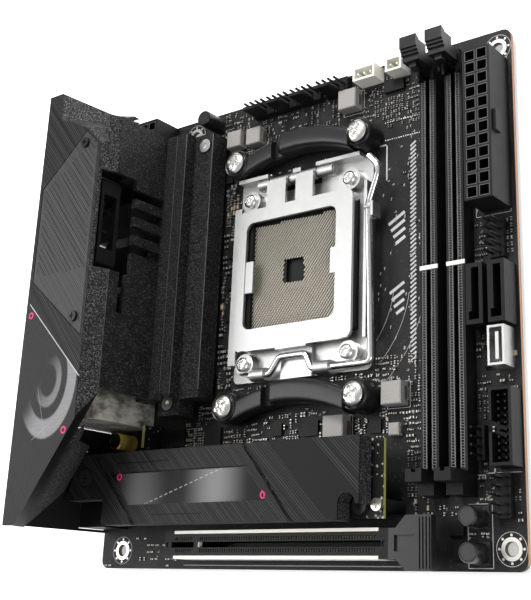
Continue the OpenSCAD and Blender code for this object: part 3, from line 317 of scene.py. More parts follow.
def drive_cover_finish():
    """Drive heatsink: milled diagonal lines, a dark glossy band with a painted soft reflection
    streak, two magenta rings and a fine dashed line."""
    f = Finish("drive_cover_finish")
    x, y, z, v = f.place()
    top = z.ramp(19.75, 19.85)
    mark = milled_lines(f, x, y, 0.8, 0.8)
    hatched_zone = 1 - between(x + y, 129.5, 147.0)
    plain = f.blend(mark * hatched_zone, (0.0085, 0.0085, 0.009), (0.05, 0.05, 0.051))
    # band: slanted ends, bounded along y
    band = between(y, 20.0, 30.6) * between(x + (y - 25) * 0.9, 27.7, 87.8)
    # painted reflection: two soft light streaks drawn into the band's colour
    glow = (1 - abs(x - 36).ramp(0.0, 15.0)) * 0.08 + (1 - abs(x - 70.5).ramp(0.0, 15.0)) * 0.17
    band_reflection_and_dashes = f.out(f.node("ShaderNodeCombineXYZ", None, {0: glow, 1: glow, 2: glow}))
    dash = between((y - 20.8 - (x - 41.6) * 0.311), -0.12, 0.12) * ((x % 2.2) < 1.3) * \
        between(x, 40, 73)
    dash = dash.upper(between(y + (x - 84) * 1.1, 30.0, 30.35) * ((y % 1.6) < 1.0))
    band_reflection_and_dashes = f.blend(dash.lower(1.0) * 0.7, band_reflection_and_dashes, grey(0.5))
    face = f.blend(band, plain, band_reflection_and_dashes)
    seam = between(y, 34.0, 34.35) * between(x, 25, 50) + between(y, 16.4, 16.75) * \
        between(x, 44, 66)
    face = f.blend(seam.lower(1.0), face, grey(0.002))
    ring = circle_line(x, y, 26.4, 29.6, 0.95, 0.34).upper(
        circle_line(x, y, 90.6, 21.6, 0.95, 0.34))
    face = f.blend(ring, face, MAGENTA)
    blast, _, fine = speckle(f, v, grey(0.012), grey(0.12), 0.46)
    color = f.blend(top, blast, face)
    rough = 0.42 - band * top * 0.12
    normal = f.bump(fine * (1 - top) + mark * top * 0.4, 0.4, 0.00012)
    return f.close(color, rough, 0.0, normal, specular=0.1)


def shell_metal():
    """Nickel connector shell: painted streaky reflections in its colour, and small dents."""
    f = Finish("shell_metal")
    v = f.place()[-1]
    reflection_streaks = f.noise(f.stretch(v, (0.35, 0.2, 0.12)), 1.0, 3.0, 0.6)
    spot = f.noise(v, 1.1, 2.0)
    # painted reflections: light and dark streaks drawn into the base colour
    color = f.blend(reflection_streaks.ramp(0.3, 0.62), (0.16, 0.15, 0.11), (0.8, 0.78, 0.7))
    return f.close(color, 0.25 + spot * 0.2, 0.35, f.bump(spot, 0.2, 0.0002))


def plated(name, tone, rough, brushed=0.0, turn=0.0):
    """Plated steel: soft mottling, optional brushing."""
    f = Finish(name)
    v = f.place()[-1]
    cloud = f.noise(v, 0.25, 3.0)
    scratch = f.noise(f.stretch(v, (0.25, 9.0, 1.0), (0, 0, turn)), 1.0, 3.0)
    wear = f.noise(v, 2.2, 3.0)
    color = f.blend(cloud, tinted(tone, 0.82), tone)
    r = rough + cloud * 0.1 + scratch * brushed * 0.25 + wear * 0.05
    normal = f.bump(scratch * brushed + wear * 0.4, 0.12, 0.00004)
    return f.close(color, r, 1.0, normal)


def drive_screws():
    """Drive heatsink screws: blackened steel, bright only at the carrier's own screw."""
    f = Finish("drive_screws")
    x, y, z, v = f.place()
    bright = x.ramp(125.2, 125.4)
    wear = f.noise(v, 2.2, 3.0)
    color = f.blend(bright, grey(0.03), (0.7, 0.69, 0.66))
    return f.close(color, 0.28 + wear * 0.15, 0.4 + bright * 0.6, f.bump(wear, 0.12, 0.00004))


def card_finish(name, edge, axis):
    """Thin circuit card: dark printed faces, yellow-green cut edge."""
    f = Finish(name)
    x, y, z, v = f.place()
    cut = {"x": x, "z": z}[axis].ramp(edge, edge + 0.05)
    fleck = f.noise(v, 1.6, 2.0)
    pads = f.cells(v, 0.55).ramp(0.2, 0.26)
    color = f.blend(pads, (0.3, 0.29, 0.26), (0.008, 0.008, 0.008))
    color = f.blend(cut, color, (0.34, 0.36, 0.12))
    return f.close(color, 0.4 + fleck * 0.2, 0.0, specular=0.25)


def gold_can():
    """Gold-coloured sleeve with a dark printed stripe and a black top."""
    f = Finish("gold_sleeve")
    x, y, z, v = f.place()
    top = z.ramp(8.72, 8.8)
    stripe = between(z, 2.6, 5.6) * ((x - 10.8) > 1.2)
    n = f.noise(v, 1.5, 2.0)
    color = f.blend(stripe * 0.5, (0.95, 0.68, 0.13), (0.5, 0.3, 0.05))
    color = f.blend(n * 0.3, color, (0.95, 0.75, 0.3))
    color = f.blend(top, color, grey(0.01))
    return f.close(color, 0.25 + n * 0.1, 0.55)


def moulded(name, tone, rough, grain, depth, specular=0.5):
    """Moulded plastic with a fine spark-eroded grain."""
    f = Finish(name)
    v = f.place()[-1]
    fine = f.noise(v, grain, 2.0)
    cloud = f.noise(v, 0.4, 2.0)
    color = f.blend(fine, tinted(tone, 0.8), tinted(tone, 1.35))
    r = rough + cloud * 0.1 + fine * 0.06
    return f.close(color, r, 0.0, f.bump(fine, depth, 0.00006), specular=specular)


FINISHES = {
    "solder_mask": solder_mask(),
    "tin": plated("tin", (0.66, 0.64, 0.6), 0.3),
    "black_steel": moulded("black_steel", grey(0.007), 0.3, 2.5, 0.35, 0.26),
    "black_plastic": moulded("black_plastic", (0.005, 0.005, 0.0053), 0.38, 3.0, 0.3, 0.2),
    "satin_plastic": moulded("satin_plastic", (0.008, 0.008, 0.0083), 0.26, 2.2, 0.5, 0.4),
    "gold": plated("gold", (0.66, 0.62, 0.54), 0.25),
    "nickel_steel": plated("nickel_steel", (0.6, 0.6, 0.595), 0.25, 0.6, 1.3),
    "bright_wire": plated("bright_wire", grey(0.86), 0.12),
    "bright_screw": plated("bright_screw", (0.8, 0.79, 0.76), 0.2),
    "dark_aluminium": drive_cover_finish(),
    "blasted_aluminium": blasted(),
    "ferrite": moulded("ferrite", (0.26, 0.25, 0.235), 0.5, 2.0, 0.5),
    "brass_jack": plated("brass_jack", (0.6, 0.58, 0.52), 0.3),
    "pad": moulded("pad", (0.3, 0.3, 0.33), 0.8, 2.0, 0.5),
    "white_plastic": moulded("white_plastic", (0.72, 0.7, 0.64), 0.45, 5.0, 0.2),
    "capacitor_sleeve": moulded("capacitor_sleeve", grey(0.006), 0.22, 3.0, 0.2, 0.5),
    "gold_sleeve": gold_can(),
}
OWN = {"io_cover": cover_finish(), "lan_usb_stack": shell_metal(),
       "pcie_slot_rails": plated("rail_steel", (0.62, 0.6, 0.56), 0.3, 0.8),
       "m2_screws": drive_screws(),
       "debug_card": card_finish("card_edge", 9.4, "z"),
       "m2_carrier_board": card_finish("carrier_edge", 130.3, "x")}
for part in frame["record"]["subparts"]:
    node = frame["nodes"][part["node"]]
    node.data.materials.clear()
    node.data.materials.append(OWN.get(part["node"]) or FINISHES[part["material_slot"]])


def marked(name, tone, rough=0.5):
    """Printing ink, ceramic or dull plastic with a slight mottling."""
    f = Finish(name)
    n = f.noise(f.place()[-1], 5.0, 2.0)
    return f.close(f.blend(n, tinted(tone, 0.75), tone), rough + n * 0.1)


PRINT = marked("board_print", grey(0.55))
# grey for the memory slots' ribs; on the power connectors' lips the same grey is a painted
# highlight
RIB_GREY_AND_RIM_HIGHLIGHT = marked("rib_grey_and_rim_highlight", (0.12, 0.12, 0.122), 0.35)
DULL_CONTACT = plated("dull_contact", (0.16, 0.14, 0.11), 0.4)
CERAMIC = marked("tan_ceramic", (0.36, 0.27, 0.17), 0.4)
DARK_CERAMIC = marked("dark_ceramic", (0.03, 0.03, 0.032), 0.35)
BRIGHT_EDGE = plated("milled_edge", grey(0.3), 0.35)
PANEL = hatched("panel_metal", 0.03, 0.075, 0.7)
# painted shadow: near-black for the dark inside of the vent slits
SLOT = marked("slot_shadow", grey(0.003), 0.8)

# ---------------------------------------------------------------- shapes

def rows(x, y, z):
    """Points or sizes as rows, from arrays or single values."""
    return np.column_stack(np.broadcast_arrays(x, y, z))


def sleeve(rings, sides):
    """Faces of a closed sleeve: quads between its rings, then triangles to two end points."""
    i, j = np.meshgrid(np.arange(rings - 1), np.arange(sides), indexing="ij")
    j2 = (j + 1) % sides
    quads = np.stack([i * sides + j, i * sides + j2, (i + 1) * sides + j2, (i + 1) * sides + j],
                     -1)
    k = np.arange(sides)
    k2 = (k + 1) % sides
    ends, last = rings * sides, (rings - 1) * sides
    tris = np.concatenate([np.stack([0 * k + ends, k2, k], -1),
                           np.stack([0 * k + ends + 1, last + k, last + k2], -1)])
    return [quads.reshape(-1, 4), tris]


def angles(sides):
    return np.linspace(0, 2 * np.pi, sides, endpoint=False)


CORNERS = np.array([[-0.5, -0.5], [0.5, -0.5], [0.5, 0.5], [-0.5, 0.5]])


class Shape:
    """Closed surfaces gathered into one mesh, in board millimetres."""

    def __init__(self):
        self.points, self.faces, self.slots, self.count = [], [], [], 0

    def add(self, points, faces, slot=0):
        points = np.asarray(points, float).reshape(-1, 3)
        for block in faces:
            block = np.asarray(block, int)
            self.faces.append(block + self.count)
            self.slots.append(np.full(len(block), slot))
        self.points.append(points)
        self.count += len(points)

    def copies(self, centres, points, faces, slot=0):
        """The same surface set down at each centre."""
        centres = np.atleast_2d(np.asarray(centres, float))
        step = np.arange(len(centres))[:, None, None] * len(points)
        self.add(centres[:, None] + points[None],
                 [(step + block[None]).reshape(-1, block.shape[1]) for block in faces], slot)

    def blocks(self, base, size, turn=0.0, chamfer=0.0, slot=0):
        """Boxes standing on `base` (x, y, z of the middle of the underside).

        Corner k of ring j = base + R(turn) (c_k (size - 2 inset_j)), z_j; the last ring is
        drawn in by the chamfer.
        """
        base = np.atleast_2d(np.asarray(base, float))
        n = len(base)
        size = np.broadcast_to(np.asarray(size, float), (n, 3))
        turn = np.broadcast_to(np.asarray(turn, float), (n,))
        levels = [(0.0, np.zeros(n)), (0.0, size[:, 2] - chamfer)]
        if chamfer:
            levels.append((chamfer, size[:, 2]))
        cos, sin = np.cos(turn)[:, None], np.sin(turn)[:, None]
        rings = []
        for inset, rise in levels:
            flat = CORNERS[None] * (size[:, None, :2] - 2 * inset)
            x = flat[..., 0] * cos - flat[..., 1] * sin + base[:, 0:1]
            y = flat[..., 0] * sin + flat[..., 1] * cos + base[:, 1:2]
            rings.append(np.stack([x, y, base[:, 2:3] + rise[:, None] + 0 * x], -1))
        k = 4 * len(levels)
        index = [[3, 2, 1, 0], [k - 4, k - 3, k - 2, k - 1]]
        index += [[4 * l + i, 4 * l + (i + 1) % 4, 4 * l + 4 + (i + 1) % 4, 4 * l + 4 + i]
                  for l in range(len(levels) - 1) for i in range(4)]
        start = np.arange(n)[:, None, None] * k
        self.add(np.concatenate(rings, 1), [(start + np.array(index)[None]).reshape(-1, 4)], slot)

    def box(self, x0, x1, y0, y1, z0, z1, chamfer=0.0, slot=0):
        self.blocks([[(x0 + x1) / 2, (y0 + y1) / 2, z0]], [x1 - x0, y1 - y0, z1 - z0],
                    chamfer=chamfer, slot=slot)

    def turned(self, centres, profile, sides=24, slot=0):
        """Profile (r, h) turned about an axis: p(a, j) = c + (r_j cos a, r_j sin a, h_j).

        The profile starts and ends on the axis, so both poles are single points.
        """
        profile = np.asarray(profile, float)
        a = angles(sides)
        inner = profile[1:-1]
        ring = np.stack([inner[:, :1] * np.cos(a), inner[:, :1] * np.sin(a),
                         inner[:, 1:] + 0 * a], -1).reshape(-1, 3)
        pts = np.concatenate([[[0, 0, profile[0, 1]]], ring, [[0, 0, profile[-1, 1]]]])
        i = np.arange(sides)
        k = (i + 1) % sides
        quads = [np.stack([1 + j * sides + i, 1 + j * sides + k,
                           1 + (j + 1) * sides + k, 1 + (j + 1) * sides + i], -1)
                 for j in range(len(inner) - 1)]
        last = 1 + (len(inner) - 1) * sides
        tris = [np.stack([0 * i, 1 + k, 1 + i], -1),
                np.stack([0 * i + last + sides, last + i, last + k], -1)]
        self.copies(centres, pts, [np.concatenate(tris), np.concatenate(quads)], slot)

    def ring(self, centre, profile, sides, slot):
        """Closed profile (r, h) carried round a circle: a torus-like band."""
        profile = np.asarray(profile, float)
        m = len(profile)
        a = angles(sides)
        r = profile[None, :, 0]
        pts = np.stack([r * np.cos(a)[:, None], r * np.sin(a)[:, None],
                        profile[None, :, 1] + 0 * a[:, None]], -1) + np.asarray(centre, float)
        i, j = np.meshgrid(np.arange(sides), np.arange(m), indexing="ij")
        i2, j2 = (i + 1) % sides, (j + 1) % m
        quads = np.stack([i * m + j, i2 * m + j, i2 * m + j2, i * m + j2], -1).reshape(-1, 4)
        self.add(pts.reshape(-1, 3), [quads], slot)

    def tube(self, path, radius, sides):
        """Circle carried along a path: p(s, a) = path(s) + r (n cos a + b sin a)."""
        path = np.asarray(path, float)
        t = np.gradient(path, axis=0)
        t /= np.linalg.norm(t, axis=1)[:, None]
        n = np.cross(t, (0.0, 0.0, 1.0))
        n /= np.linalg.norm(n, axis=1)[:, None]
        b = np.cross(n, t)
        a = angles(sides)[None, :, None]
        pts = path[:, None] + radius * (n[:, None] * np.cos(a) - b[:, None] * np.sin(a))
        self.add(np.concatenate([pts.reshape(-1, 3), path[[0, -1]]]), sleeve(len(path), sides))

    def loft(self, middle, half_w, half_h, sides=36, corner=0.45):
        """Rounded section carried along x: p = (x, y + w C(a), z + h S(a)) with
        C = sign(cos) |cos|^corner and S = sign(sin) |sin|^corner."""
        a = angles(sides)
        c = np.sign(np.cos(a)) * np.abs(np.cos(a)) ** corner
        d = np.sign(np.sin(a)) * np.abs(np.sin(a)) ** corner
        pts = np.stack([middle[:, :1] + 0 * a, middle[:, 1:2] + half_w[:, None] * c,
                        middle[:, 2:] + half_h[:, None] * d], -1)
        self.add(np.concatenate([pts.reshape(-1, 3), middle[[0, -1]]]),
                 sleeve(len(middle), sides))

    def prism(self, outline, z0, z1, chamfer=0.0, slot=0):
        """Flat outline raised from z0 to z1, its top edge drawn in by the chamfer."""
        outline = np.asarray(outline, float)
        m = len(outline)
        edge = np.roll(outline, -1, 0) - outline
        edge /= np.linalg.norm(edge, axis=1)[:, None]
        inward = np.stack([-edge[:, 1], edge[:, 0]], -1)
        bisect = inward + np.roll(inward, 1, 0)
        bisect /= (1 + (inward * np.roll(inward, 1, 0)).sum(1))[:, None]
        rings = [np.column_stack([outline, np.full(m, z0)])]
        if chamfer:
            rings.append(np.column_stack([outline, np.full(m, z1 - chamfer)]))
        rings.append(np.column_stack([outline + bisect * chamfer, np.full(m, z1)]))
        i = np.arange(m)
        k = (i + 1) % m
        quads = [np.stack([l * m + i, l * m + k, (l + 1) * m + k, (l + 1) * m + i], -1)
                 for l in range(len(rings) - 1)]
        self.add(np.concatenate(rings),
                 [np.concatenate(quads), i[::-1][None], ((len(rings) - 1) * m + i)[None]], slot)


def put(name, shape, finishes, body="board", stands_for=(), smooth=0.6):
    """Turns a shape into a piece that rides on a body and may stand for CAD nodes."""
    points = (np.concatenate(shape.points) - ORIGIN) * 0.001
    faces = [row for block in shape.faces for row in block.tolist()]
    mesh = bpy.data.meshes.new(name)
    mesh.from_pydata(points.tolist(), [], faces)
    for finish in finishes:
        mesh.materials.append(FINISHES[finish] if isinstance(finish, str) else finish)
    mesh.polygons.foreach_set("material_index", np.concatenate(shape.slots).astype(np.int32))
    mesh.polygons.foreach_set("use_smooth", np.ones(len(faces), dtype=bool))
    mesh.update()
    mesh.set_sharp_from_angle(angle=smooth)
    piece = bpy.data.objects.new(name, mesh)
    bpy.context.scene.collection.objects.link(piece)
    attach(piece, body)
    if stands_for:
        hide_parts(*stands_for)


# ---------------------------------------------------------------- free board area

class Ground:
    """Half-millimetre map of where parts already stand on the board."""

    STEP = 0.5
    MARGIN = 0.6        # kept clear along the board's edges
    HOLE_CLEAR = 5.6

    def __init__(self, skip):
        size = int(BOARD / self.STEP) + 2
        edge = np.zeros((size + 1, size + 1))
        for name, node in frame["nodes"].items():
            if name in skip:
                continue
            mesh = node.data
            xyz = np.empty(len(mesh.vertices) * 3)
            mesh.vertices.foreach_get("co", xyz)
            xyz = xyz.reshape(-1, 3) * 1000 + ORIGIN
            mesh.calc_loop_triangles()
            tri = np.empty(len(mesh.loop_triangles) * 3, dtype=np.int32)
            mesh.loop_triangles.foreach_get("vertices", tri)
            corner = xyz[tri.reshape(-1, 3)]
            corner = corner[corner[:, :, 2].max(1) > 0.05]
            low = np.clip(np.floor(corner[:, :, :2].min(1) / self.STEP), 0, size - 1).astype(int)
            high = np.clip(np.ceil(corner[:, :, :2].max(1) / self.STEP), 1, size).astype(int)
            np.add.at(edge, (low[:, 0], low[:, 1]), 1)
            np.add.at(edge, (high[:, 0], low[:, 1]), -1)
            np.add.at(edge, (low[:, 0], high[:, 1]), -1)
            np.add.at(edge, (high[:, 0], high[:, 1]), 1)
        taken = edge.cumsum(0).cumsum(1) > 0.5
        gx, gy = np.meshgrid(np.arange(size + 1), np.arange(size + 1), indexing="ij")
        for hx, hy in HOLES:
            taken |= np.hypot(gx * self.STEP - hx, gy * self.STEP - hy) < self.HOLE_CLEAR
        self.sums = np.pad(taken.astype(float).cumsum(0).cumsum(1), ((1, 0), (1, 0)))

    def free(self, x, y, half_x, half_y):
        """True where a footprint lies wholly on bare board."""
        top = self.sums.shape[0] - 1
        x0 = np.clip(np.floor((x - half_x) / self.STEP), 0, top).astype(int)
        x1 = np.clip(np.ceil((x + half_x) / self.STEP) + 1, 0, top).astype(int)
        y0 = np.clip(np.floor((y - half_y) / self.STEP), 0, top).astype(int)
        y1 = np.clip(np.ceil((y + half_y) / self.STEP) + 1, 0, top).astype(int)
        held = self.sums[x1, y1] - self.sums[x0, y1] - self.sums[x1, y0] + self.sums[x0, y0]
        far = BOARD - self.MARGIN
        inside = (x - half_x > self.MARGIN) & (x + half_x < far) & \
            (y - half_y > self.MARGIN) & (y + half_y < far)
        return inside & (held < 0.5)


ground = Ground({"pcb", "solder_pins", "socket_backplate", "socket_lever"})

# x from, x to, y from, y to, pitch x, pitch y, share kept, chip length, how tall
ZONES = [
    (52.6, 62.5, 62, 150, 1.55, 2.1, 0.85, 1.6, 0.9),
    (62, 116, 119, 141, 2.4, 2.2, 0.3, 1.0, 0.5),
    (50, 118, 146, 162.4, 1.35, 1.9, 0.55, 1.0, 0.5),
    (46, 136, 162.4, 169, 1.6, 1.9, 0.5, 1.0, 0.5),
    (118, 138, 146, 163, 1.1, 1.7, 0.8, 0.9, 0.5),
    (130, 138.6, 60, 146, 2.0, 2.6, 0.16, 1.0, 0.5),
    (60, 126, 38.6, 62, 1.15, 1.8, 0.72, 0.95, 0.5),
    (27, 60, 38.6, 57, 1.15, 1.8, 0.75, 0.95, 0.5),
    (112, 139, 22, 66, 1.3, 1.8, 0.6, 1.0, 0.5),
    (134, 158, 1, 27, 1.4, 1.9, 0.7, 1.0, 0.5),
    (156.3, 169, 8, 106, 1.5, 2.0, 0.62, 1.0, 0.5),
    (146.4, 148.2, 22, 150, 1.6, 7.0, 0.1, 1.0, 0.4),
    (0.8, 42, 1, 12.6, 1.9, 2.3, 0.4, 1.0, 0.5),
    (34, 58, 158, 169, 1.5, 2.0, 0.5, 1.0, 0.5),
]


def chip_parts():
    """Small chip capacitors and resistors: on a loose grid in each zone, kept where a slow
    wave sin(ax + b) + sin(cy + d) lets them cluster and where the board is bare."""
    rng = np.random.default_rng(11)
    shape = Shape()
    kept = []
    for x0, x1, y0, y1, px, py, share, length, tall in ZONES:
        gx, gy = np.meshgrid(np.arange(x0, x1, px), np.arange(y0, y1, py), indexing="ij")
        gx, gy = gx.ravel(), gy.ravel()
        wave = 0.5 + 0.25 * (np.sin(gx * 0.55 + y0) + np.sin(gy * 0.43 + x0))
        keep = rng.random(len(gx)) < share * (0.35 + 1.1 * wave)
        upright = np.sin(gx * 0.21 + gy * 0.17 + x1) > -0.1
        x = gx + rng.uniform(-0.12, 0.12, len(gx))
        y = gy + rng.uniform(-0.12, 0.12, len(gx))
        scale = np.where(rng.random(len(gx)) < 0.12, 1.45, 1.0) * length
        hx = np.where(upright, 0.28, 0.56) * scale
        hy = np.where(upright, 0.56, 0.28) * scale
        ok = keep & ground.free(x, y, hx, hy)
        height = tall * rng.choice([0.7, 1.0, 1.15], len(gx)) * scale / length
        turn = np.where(upright, np.pi / 2, 0.0)
        kept.append(np.column_stack([x, y, scale, turn, height])[ok])
    x, y, scale, turn, height = np.concatenate(kept).T
    along = np.column_stack([np.cos(turn), np.sin(turn)])
    base = rows(x, y, 0.02)
    body_size = np.column_stack([scale * 0.62, scale * 0.48, height])
    kind = rng.random(len(x))
    for slot, mask in ((1, kind < 0.22), (2, kind >= 0.22)):
        shape.blocks(base[mask], body_size[mask], turn[mask], slot=slot)
    for side in (-1, 1):
        at = base.copy()
        at[:, :2] += along * (side * scale * 0.4)[:, None]
        size = np.column_stack([scale * 0.24, scale * 0.54, height + 0.04])
        shape.blocks(at, size, turn, chamfer=0.05)
    put("chip_parts", shape, ["tin", CERAMIC, DARK_CERAMIC], smooth=0.3)


def solder_dots():
    """Rows of small solder domes beside the memory slots and under the headers."""
    lines = []
    for x, y0, y1, pitch in ((148.3, 26, 157, 0.85), (154.9, 26, 157, 1.7), (146.1, 30, 150, 1.7),
                             (139.3, 40, 90, 1.7), (139.3, 96, 150, 1.7)):
        y = np.arange(y0, y1, pitch)
        lines.append(rows(x, y, 0.0))
    for x0, x1, y in ((122, 137, 147.6), (122, 137, 141.0), (43, 52, 2.6), (60, 104, 2.2)):
        x = np.arange(x0, x1, 0.9)
        lines.append(rows(x, y, 0.0))
    p = np.concatenate(lines)
    p = p[ground.free(p[:, 0], p[:, 1], 0.2, 0.2)]
    shape = Shape()
    shape.turned(p, [(0, 0), (0.3, 0.01), (0.24, 0.14), (0, 0.2)], 8)
    put("solder_dots", shape, ["tin"])


def hole_rings():
    """Plated ring and solder pads round each board hole, with a printed circle outside."""
    shape = Shape()
    for hx, hy in HOLES:
        shape.ring((hx, hy, 0), [(3.3, 0.005), (3.3, 0.05), (2.1, 0.05), (2.1, 0.005)], 48, 0)
        a = np.arange(8) * np.pi / 4
        dots = rows(hx + 3.9 * np.cos(a), hy + 3.9 * np.sin(a), 0.0)
        shape.turned(dots, [(0, 0.004), (0.42, 0.005), (0.36, 0.06), (0, 0.09)], 10, 0)
        shape.ring((hx, hy, 0), [(4.8, 0.005), (4.8, 0.03), (4.65, 0.03), (4.65, 0.005)], 48, 1)
    put("hole_rings", shape, ["tin", PRINT])


def printed_marks():
    """White printing on the board: outlines, ticks, slanted bars; no characters."""
    shape = Shape()

    def line(x0, y0, x1, y1, width=0.17):
        length = math.hypot(x1 - x0, y1 - y0)
        shape.blocks([[(x0 + x1) / 2, (y0 + y1) / 2, INK_Z]], [length + width, width, INK],
                     math.atan2(y1 - y0, x1 - x0))

    def frame_line(x0, x1, y0, y1):
        for a, b, c, d in ((x0, y0, x1, y0), (x1, y0, x1, y1), (x1, y1, x0, y1), (x0, y1, x0, y0)):
            line(a, b, c, d)

    # corner bracket beside the socket, and its mirror lower down
    line(118.6, 139.4, 122.6, 139.4, 0.5)
    line(122.6, 139.4, 122.6, 126.6, 0.5)
    line(119.4, 56.4, 122.6, 56.4, 0.3)
    # groups of slanted bars
    lean = 0.52
    for k in range(4):
        y = 112 - 2.6 * k
        shape.blocks([[126.6 + 0.5 * k, y, INK_Z]], [7.2 - k, 1.1, INK], lean)
        shape.blocks([[126.8 + 0.4 * k, y - 24, INK_Z]], [6.4 - k, 1.0, INK], lean)
        shape.blocks([[137.0, 104.5 - 2.2 * k, INK_Z]], [4.2 - 0.7 * k, 0.9, INK], lean)
    # a long printed strip of slanted bars between the socket and the memory slots
    y = np.arange(64, 139, 1.5)
    shape.blocks(rows(133.0, y, INK_Z), [2.6, 0.62, INK], 0.6)
    # arcs round the lower right of the socket
    for r in (34, 40, 46):
        a = np.linspace(-0.95, -0.15, 22)
        pts = np.column_stack([SOCKET[0] + 3 + r * np.cos(a), SOCKET[1] - 6 + r * np.sin(a)])
        keep = ground.free(pts[:, 0], pts[:, 1], 0.3, 0.3)
        for k in range(len(a) - 1):
            if keep[k] and keep[k + 1]:
                line(*pts[k], *pts[k + 1], 0.12)
    # outlines round parts
    for x0, x1, y0, y1 in ((52.6, 70.2, 151.0, 159.4), (104.4, 113, 154.2, 162.8),
                           (101.2, 110.2, 39.2, 48), (123.4, 131.8, 48.8, 57.2),
                           (156.2, 168.2, 106.6, 159.8), (138.2, 157.4, 26, 27),
                           (40.6, 132.2, 1.2, 1.3), (157.4, 169, 27.4, 27.5),
                           (151.4, 159.3, 0.9, 18.8), (36, 42, 41, 48)):
        frame_line(x0, x1, y0, y1)
    # short ticks scattered beside chip parts
    rng = np.random.default_rng(4)
    x = rng.uniform(26, 168, 900)
    y = rng.uniform(2, 168, 900)
    ok = ground.free(x, y, 0.6, 0.4)
    x, y = x[ok], y[ok]
    turn = np.where(rng.random(len(x)) < 0.5, 0, np.pi / 2)
    shape.blocks(rows(x, y, INK_Z), [0.9, 0.16, INK], turn)
    shape.blocks(rows(x + 0.2, y + 0.35, INK_Z), [0.5, 0.14, INK], turn)
    put("printed_marks", shape, [PRINT], smooth=0.3)


def memory_contacts():
    """Ladder of contact windows in each memory slot and the white bar across its key."""
    y = np.arange(29.0, 155.4, 0.85)
    y = y[np.abs(y - 90.8) > 1.3]
    for name, x in (("memory_contacts_a", 142.5), ("memory_contacts_b", 152.05)):
        shape = Shape()
        for dx in (-1.55, 1.55):
            shape.blocks(rows(x + dx, y, 6.2), [1.35, 0.3, 0.36], chamfer=0.05)
            shape.blocks([[x + dx - 0.62, 92, 6.25], [x + dx + 0.62, 92, 6.25]], [0.2, 127, 0.33])
            shape.blocks(rows(x + dx * 0.62, y + 0.42, 6.12), [0.3, 0.3, 0.42], slot=1)
        shape.box(x - 3.2, x + 3.2, 90.1, 91.5, 6.2, 6.68, 0.1, 2)
        put(name, shape, [RIB_GREY_AND_RIM_HIGHLIGHT, "tin", "white_plastic"], smooth=0.3)


def slot_contacts():
    """Comb of contacts along the card slot, in two rows."""
    shape = Shape()
    x = np.arange(44.0, 129.4, 1.0)
    x = x[np.abs(x - 56.2) > 1.4]
    for y in (5.45, 9.25):
        shape.blocks(rows(x, y, 9.55), [0.62, 1.1, 1.5], chamfer=0.1)
        shape.blocks(rows(x + 0.5, y, 9.55), [0.3, 0.8, 1.2], slot=1)
    shape.box(55.4, 57.2, 6.5, 8.2, 9.6, 11.2, 0.1, 2)
    put("slot_contacts", shape, ["black_plastic", DULL_CONTACT, "white_plastic"], smooth=0.3)


def socket_pins():
    """Spring contacts of the processor socket: slanted slivers on a fine staggered grid."""
    shape = Shape()
    # slivers lie end to end along lines that climb at 52 degrees
    turn = 0.91
    i, j = np.meshgrid(np.arange(-34, 35), np.arange(-34, 35), indexing="ij")
    along, across = i * 1.05 + 0.3 * (j % 3), j * 0.98
    x = (SOCKET[0] - 2.4 + along * np.cos(turn) - across * np.sin(turn)).ravel()
    y = (SOCKET[1] + 1.4 + along * np.sin(turn) + across * np.cos(turn)).ravel()
    inside = (x > 67.7) & (x < 105.3) & (y > 80.4) & (y < 118.4)
    core = (np.abs(x - 86.4) < 4.4) & (np.abs(y - 99.6) < 4.4)
    x, y = x[inside & ~core], y[inside & ~core]
    shape.blocks(rows(x, y, 2.55), [0.98, 0.4, 0.55], turn, chamfer=0.1)
    put("socket_pins", shape, ["gold"], smooth=0.3, stands_for=("socket_contacts",))


def smooth_path(points, count):
    """Catmull-Rom curve through the points: c(t) = sum of four neighbours by cubic weights."""
    p = np.asarray(points, float)
    p = np.concatenate([[2 * p[0] - p[1]], p, [2 * p[-1] - p[-2]]])
    s = np.linspace(0, len(p) - 3, count)
    k = np.minimum(s.astype(int), len(p) - 4)
    t = (s - k)[:, None]
    a, b, c, d = p[k], p[k + 1], p[k + 2], p[k + 3]
    return 0.5 * (2 * b + (c - a) * t + (2 * a - 5 * b + 4 * c - d) * t ** 2
                  + (3 * b - a - 3 * c + d) * t ** 3)


def lever():
    """Bright wire lever: a round bar along a bent path, its free end bent over."""
    x, y, z = 119.8, 63.7, 4.2      # the corner where the bar turns to run back
    c0, c1 = 80.6, 95.5             # ends of the crank that presses the plate's lip
    lead = [(70.0, y, z), (74, y, z), (c0 - 4, y, z), (c0 - 2.4, y + 0.1, z),
            (c0 - 1.2, y + 1.0, z), (c0 + 1.4, y + 4.5, z), (c0 + 2.8, y + 5.3, z),
            (c0 + 5, y + 5.4, z), (c1 - 5, y + 5.4, z), (c1 - 2.8, y + 5.3, z),
            (c1 - 1.5, y + 4.5, z), (c1 + 0.3, y + 1.0, z), (c1 + 1.6, y + 0.1, z),
            (c1 + 3.4, y, z), (108, y, z), (x - 2.6, y, z), (x - 0.9, y + 0.35, z),
            (x - 0.1, y + 1.6, z + 0.1), (x, y + 3.4, z + 0.2), (x, 90, 5.4), (x, 112, 6.5),
            (x + 0.1, 116.4, 6.62), (x + 0.8, 118.6, 6.72), (x + 3.5, 124.9, 7.35),
            (x + 4.15, 127.3, 7.5), (x + 3.7, 129.6, 7.62), (x + 0.75, 133.2, 7.8)]
    shape = Shape()
    shape.tube(smooth_path(lead, 220), 1.18, 16)
    # pressed flats that keep the pivot in place
    shape.blocks([[x, 115.2, 5.2]], [2.9, 1.7, 2.9], chamfer=0.4)
    put("lever_wire", shape, ["bright_wire"], "socket_lever", stands_for=("socket_lever",))


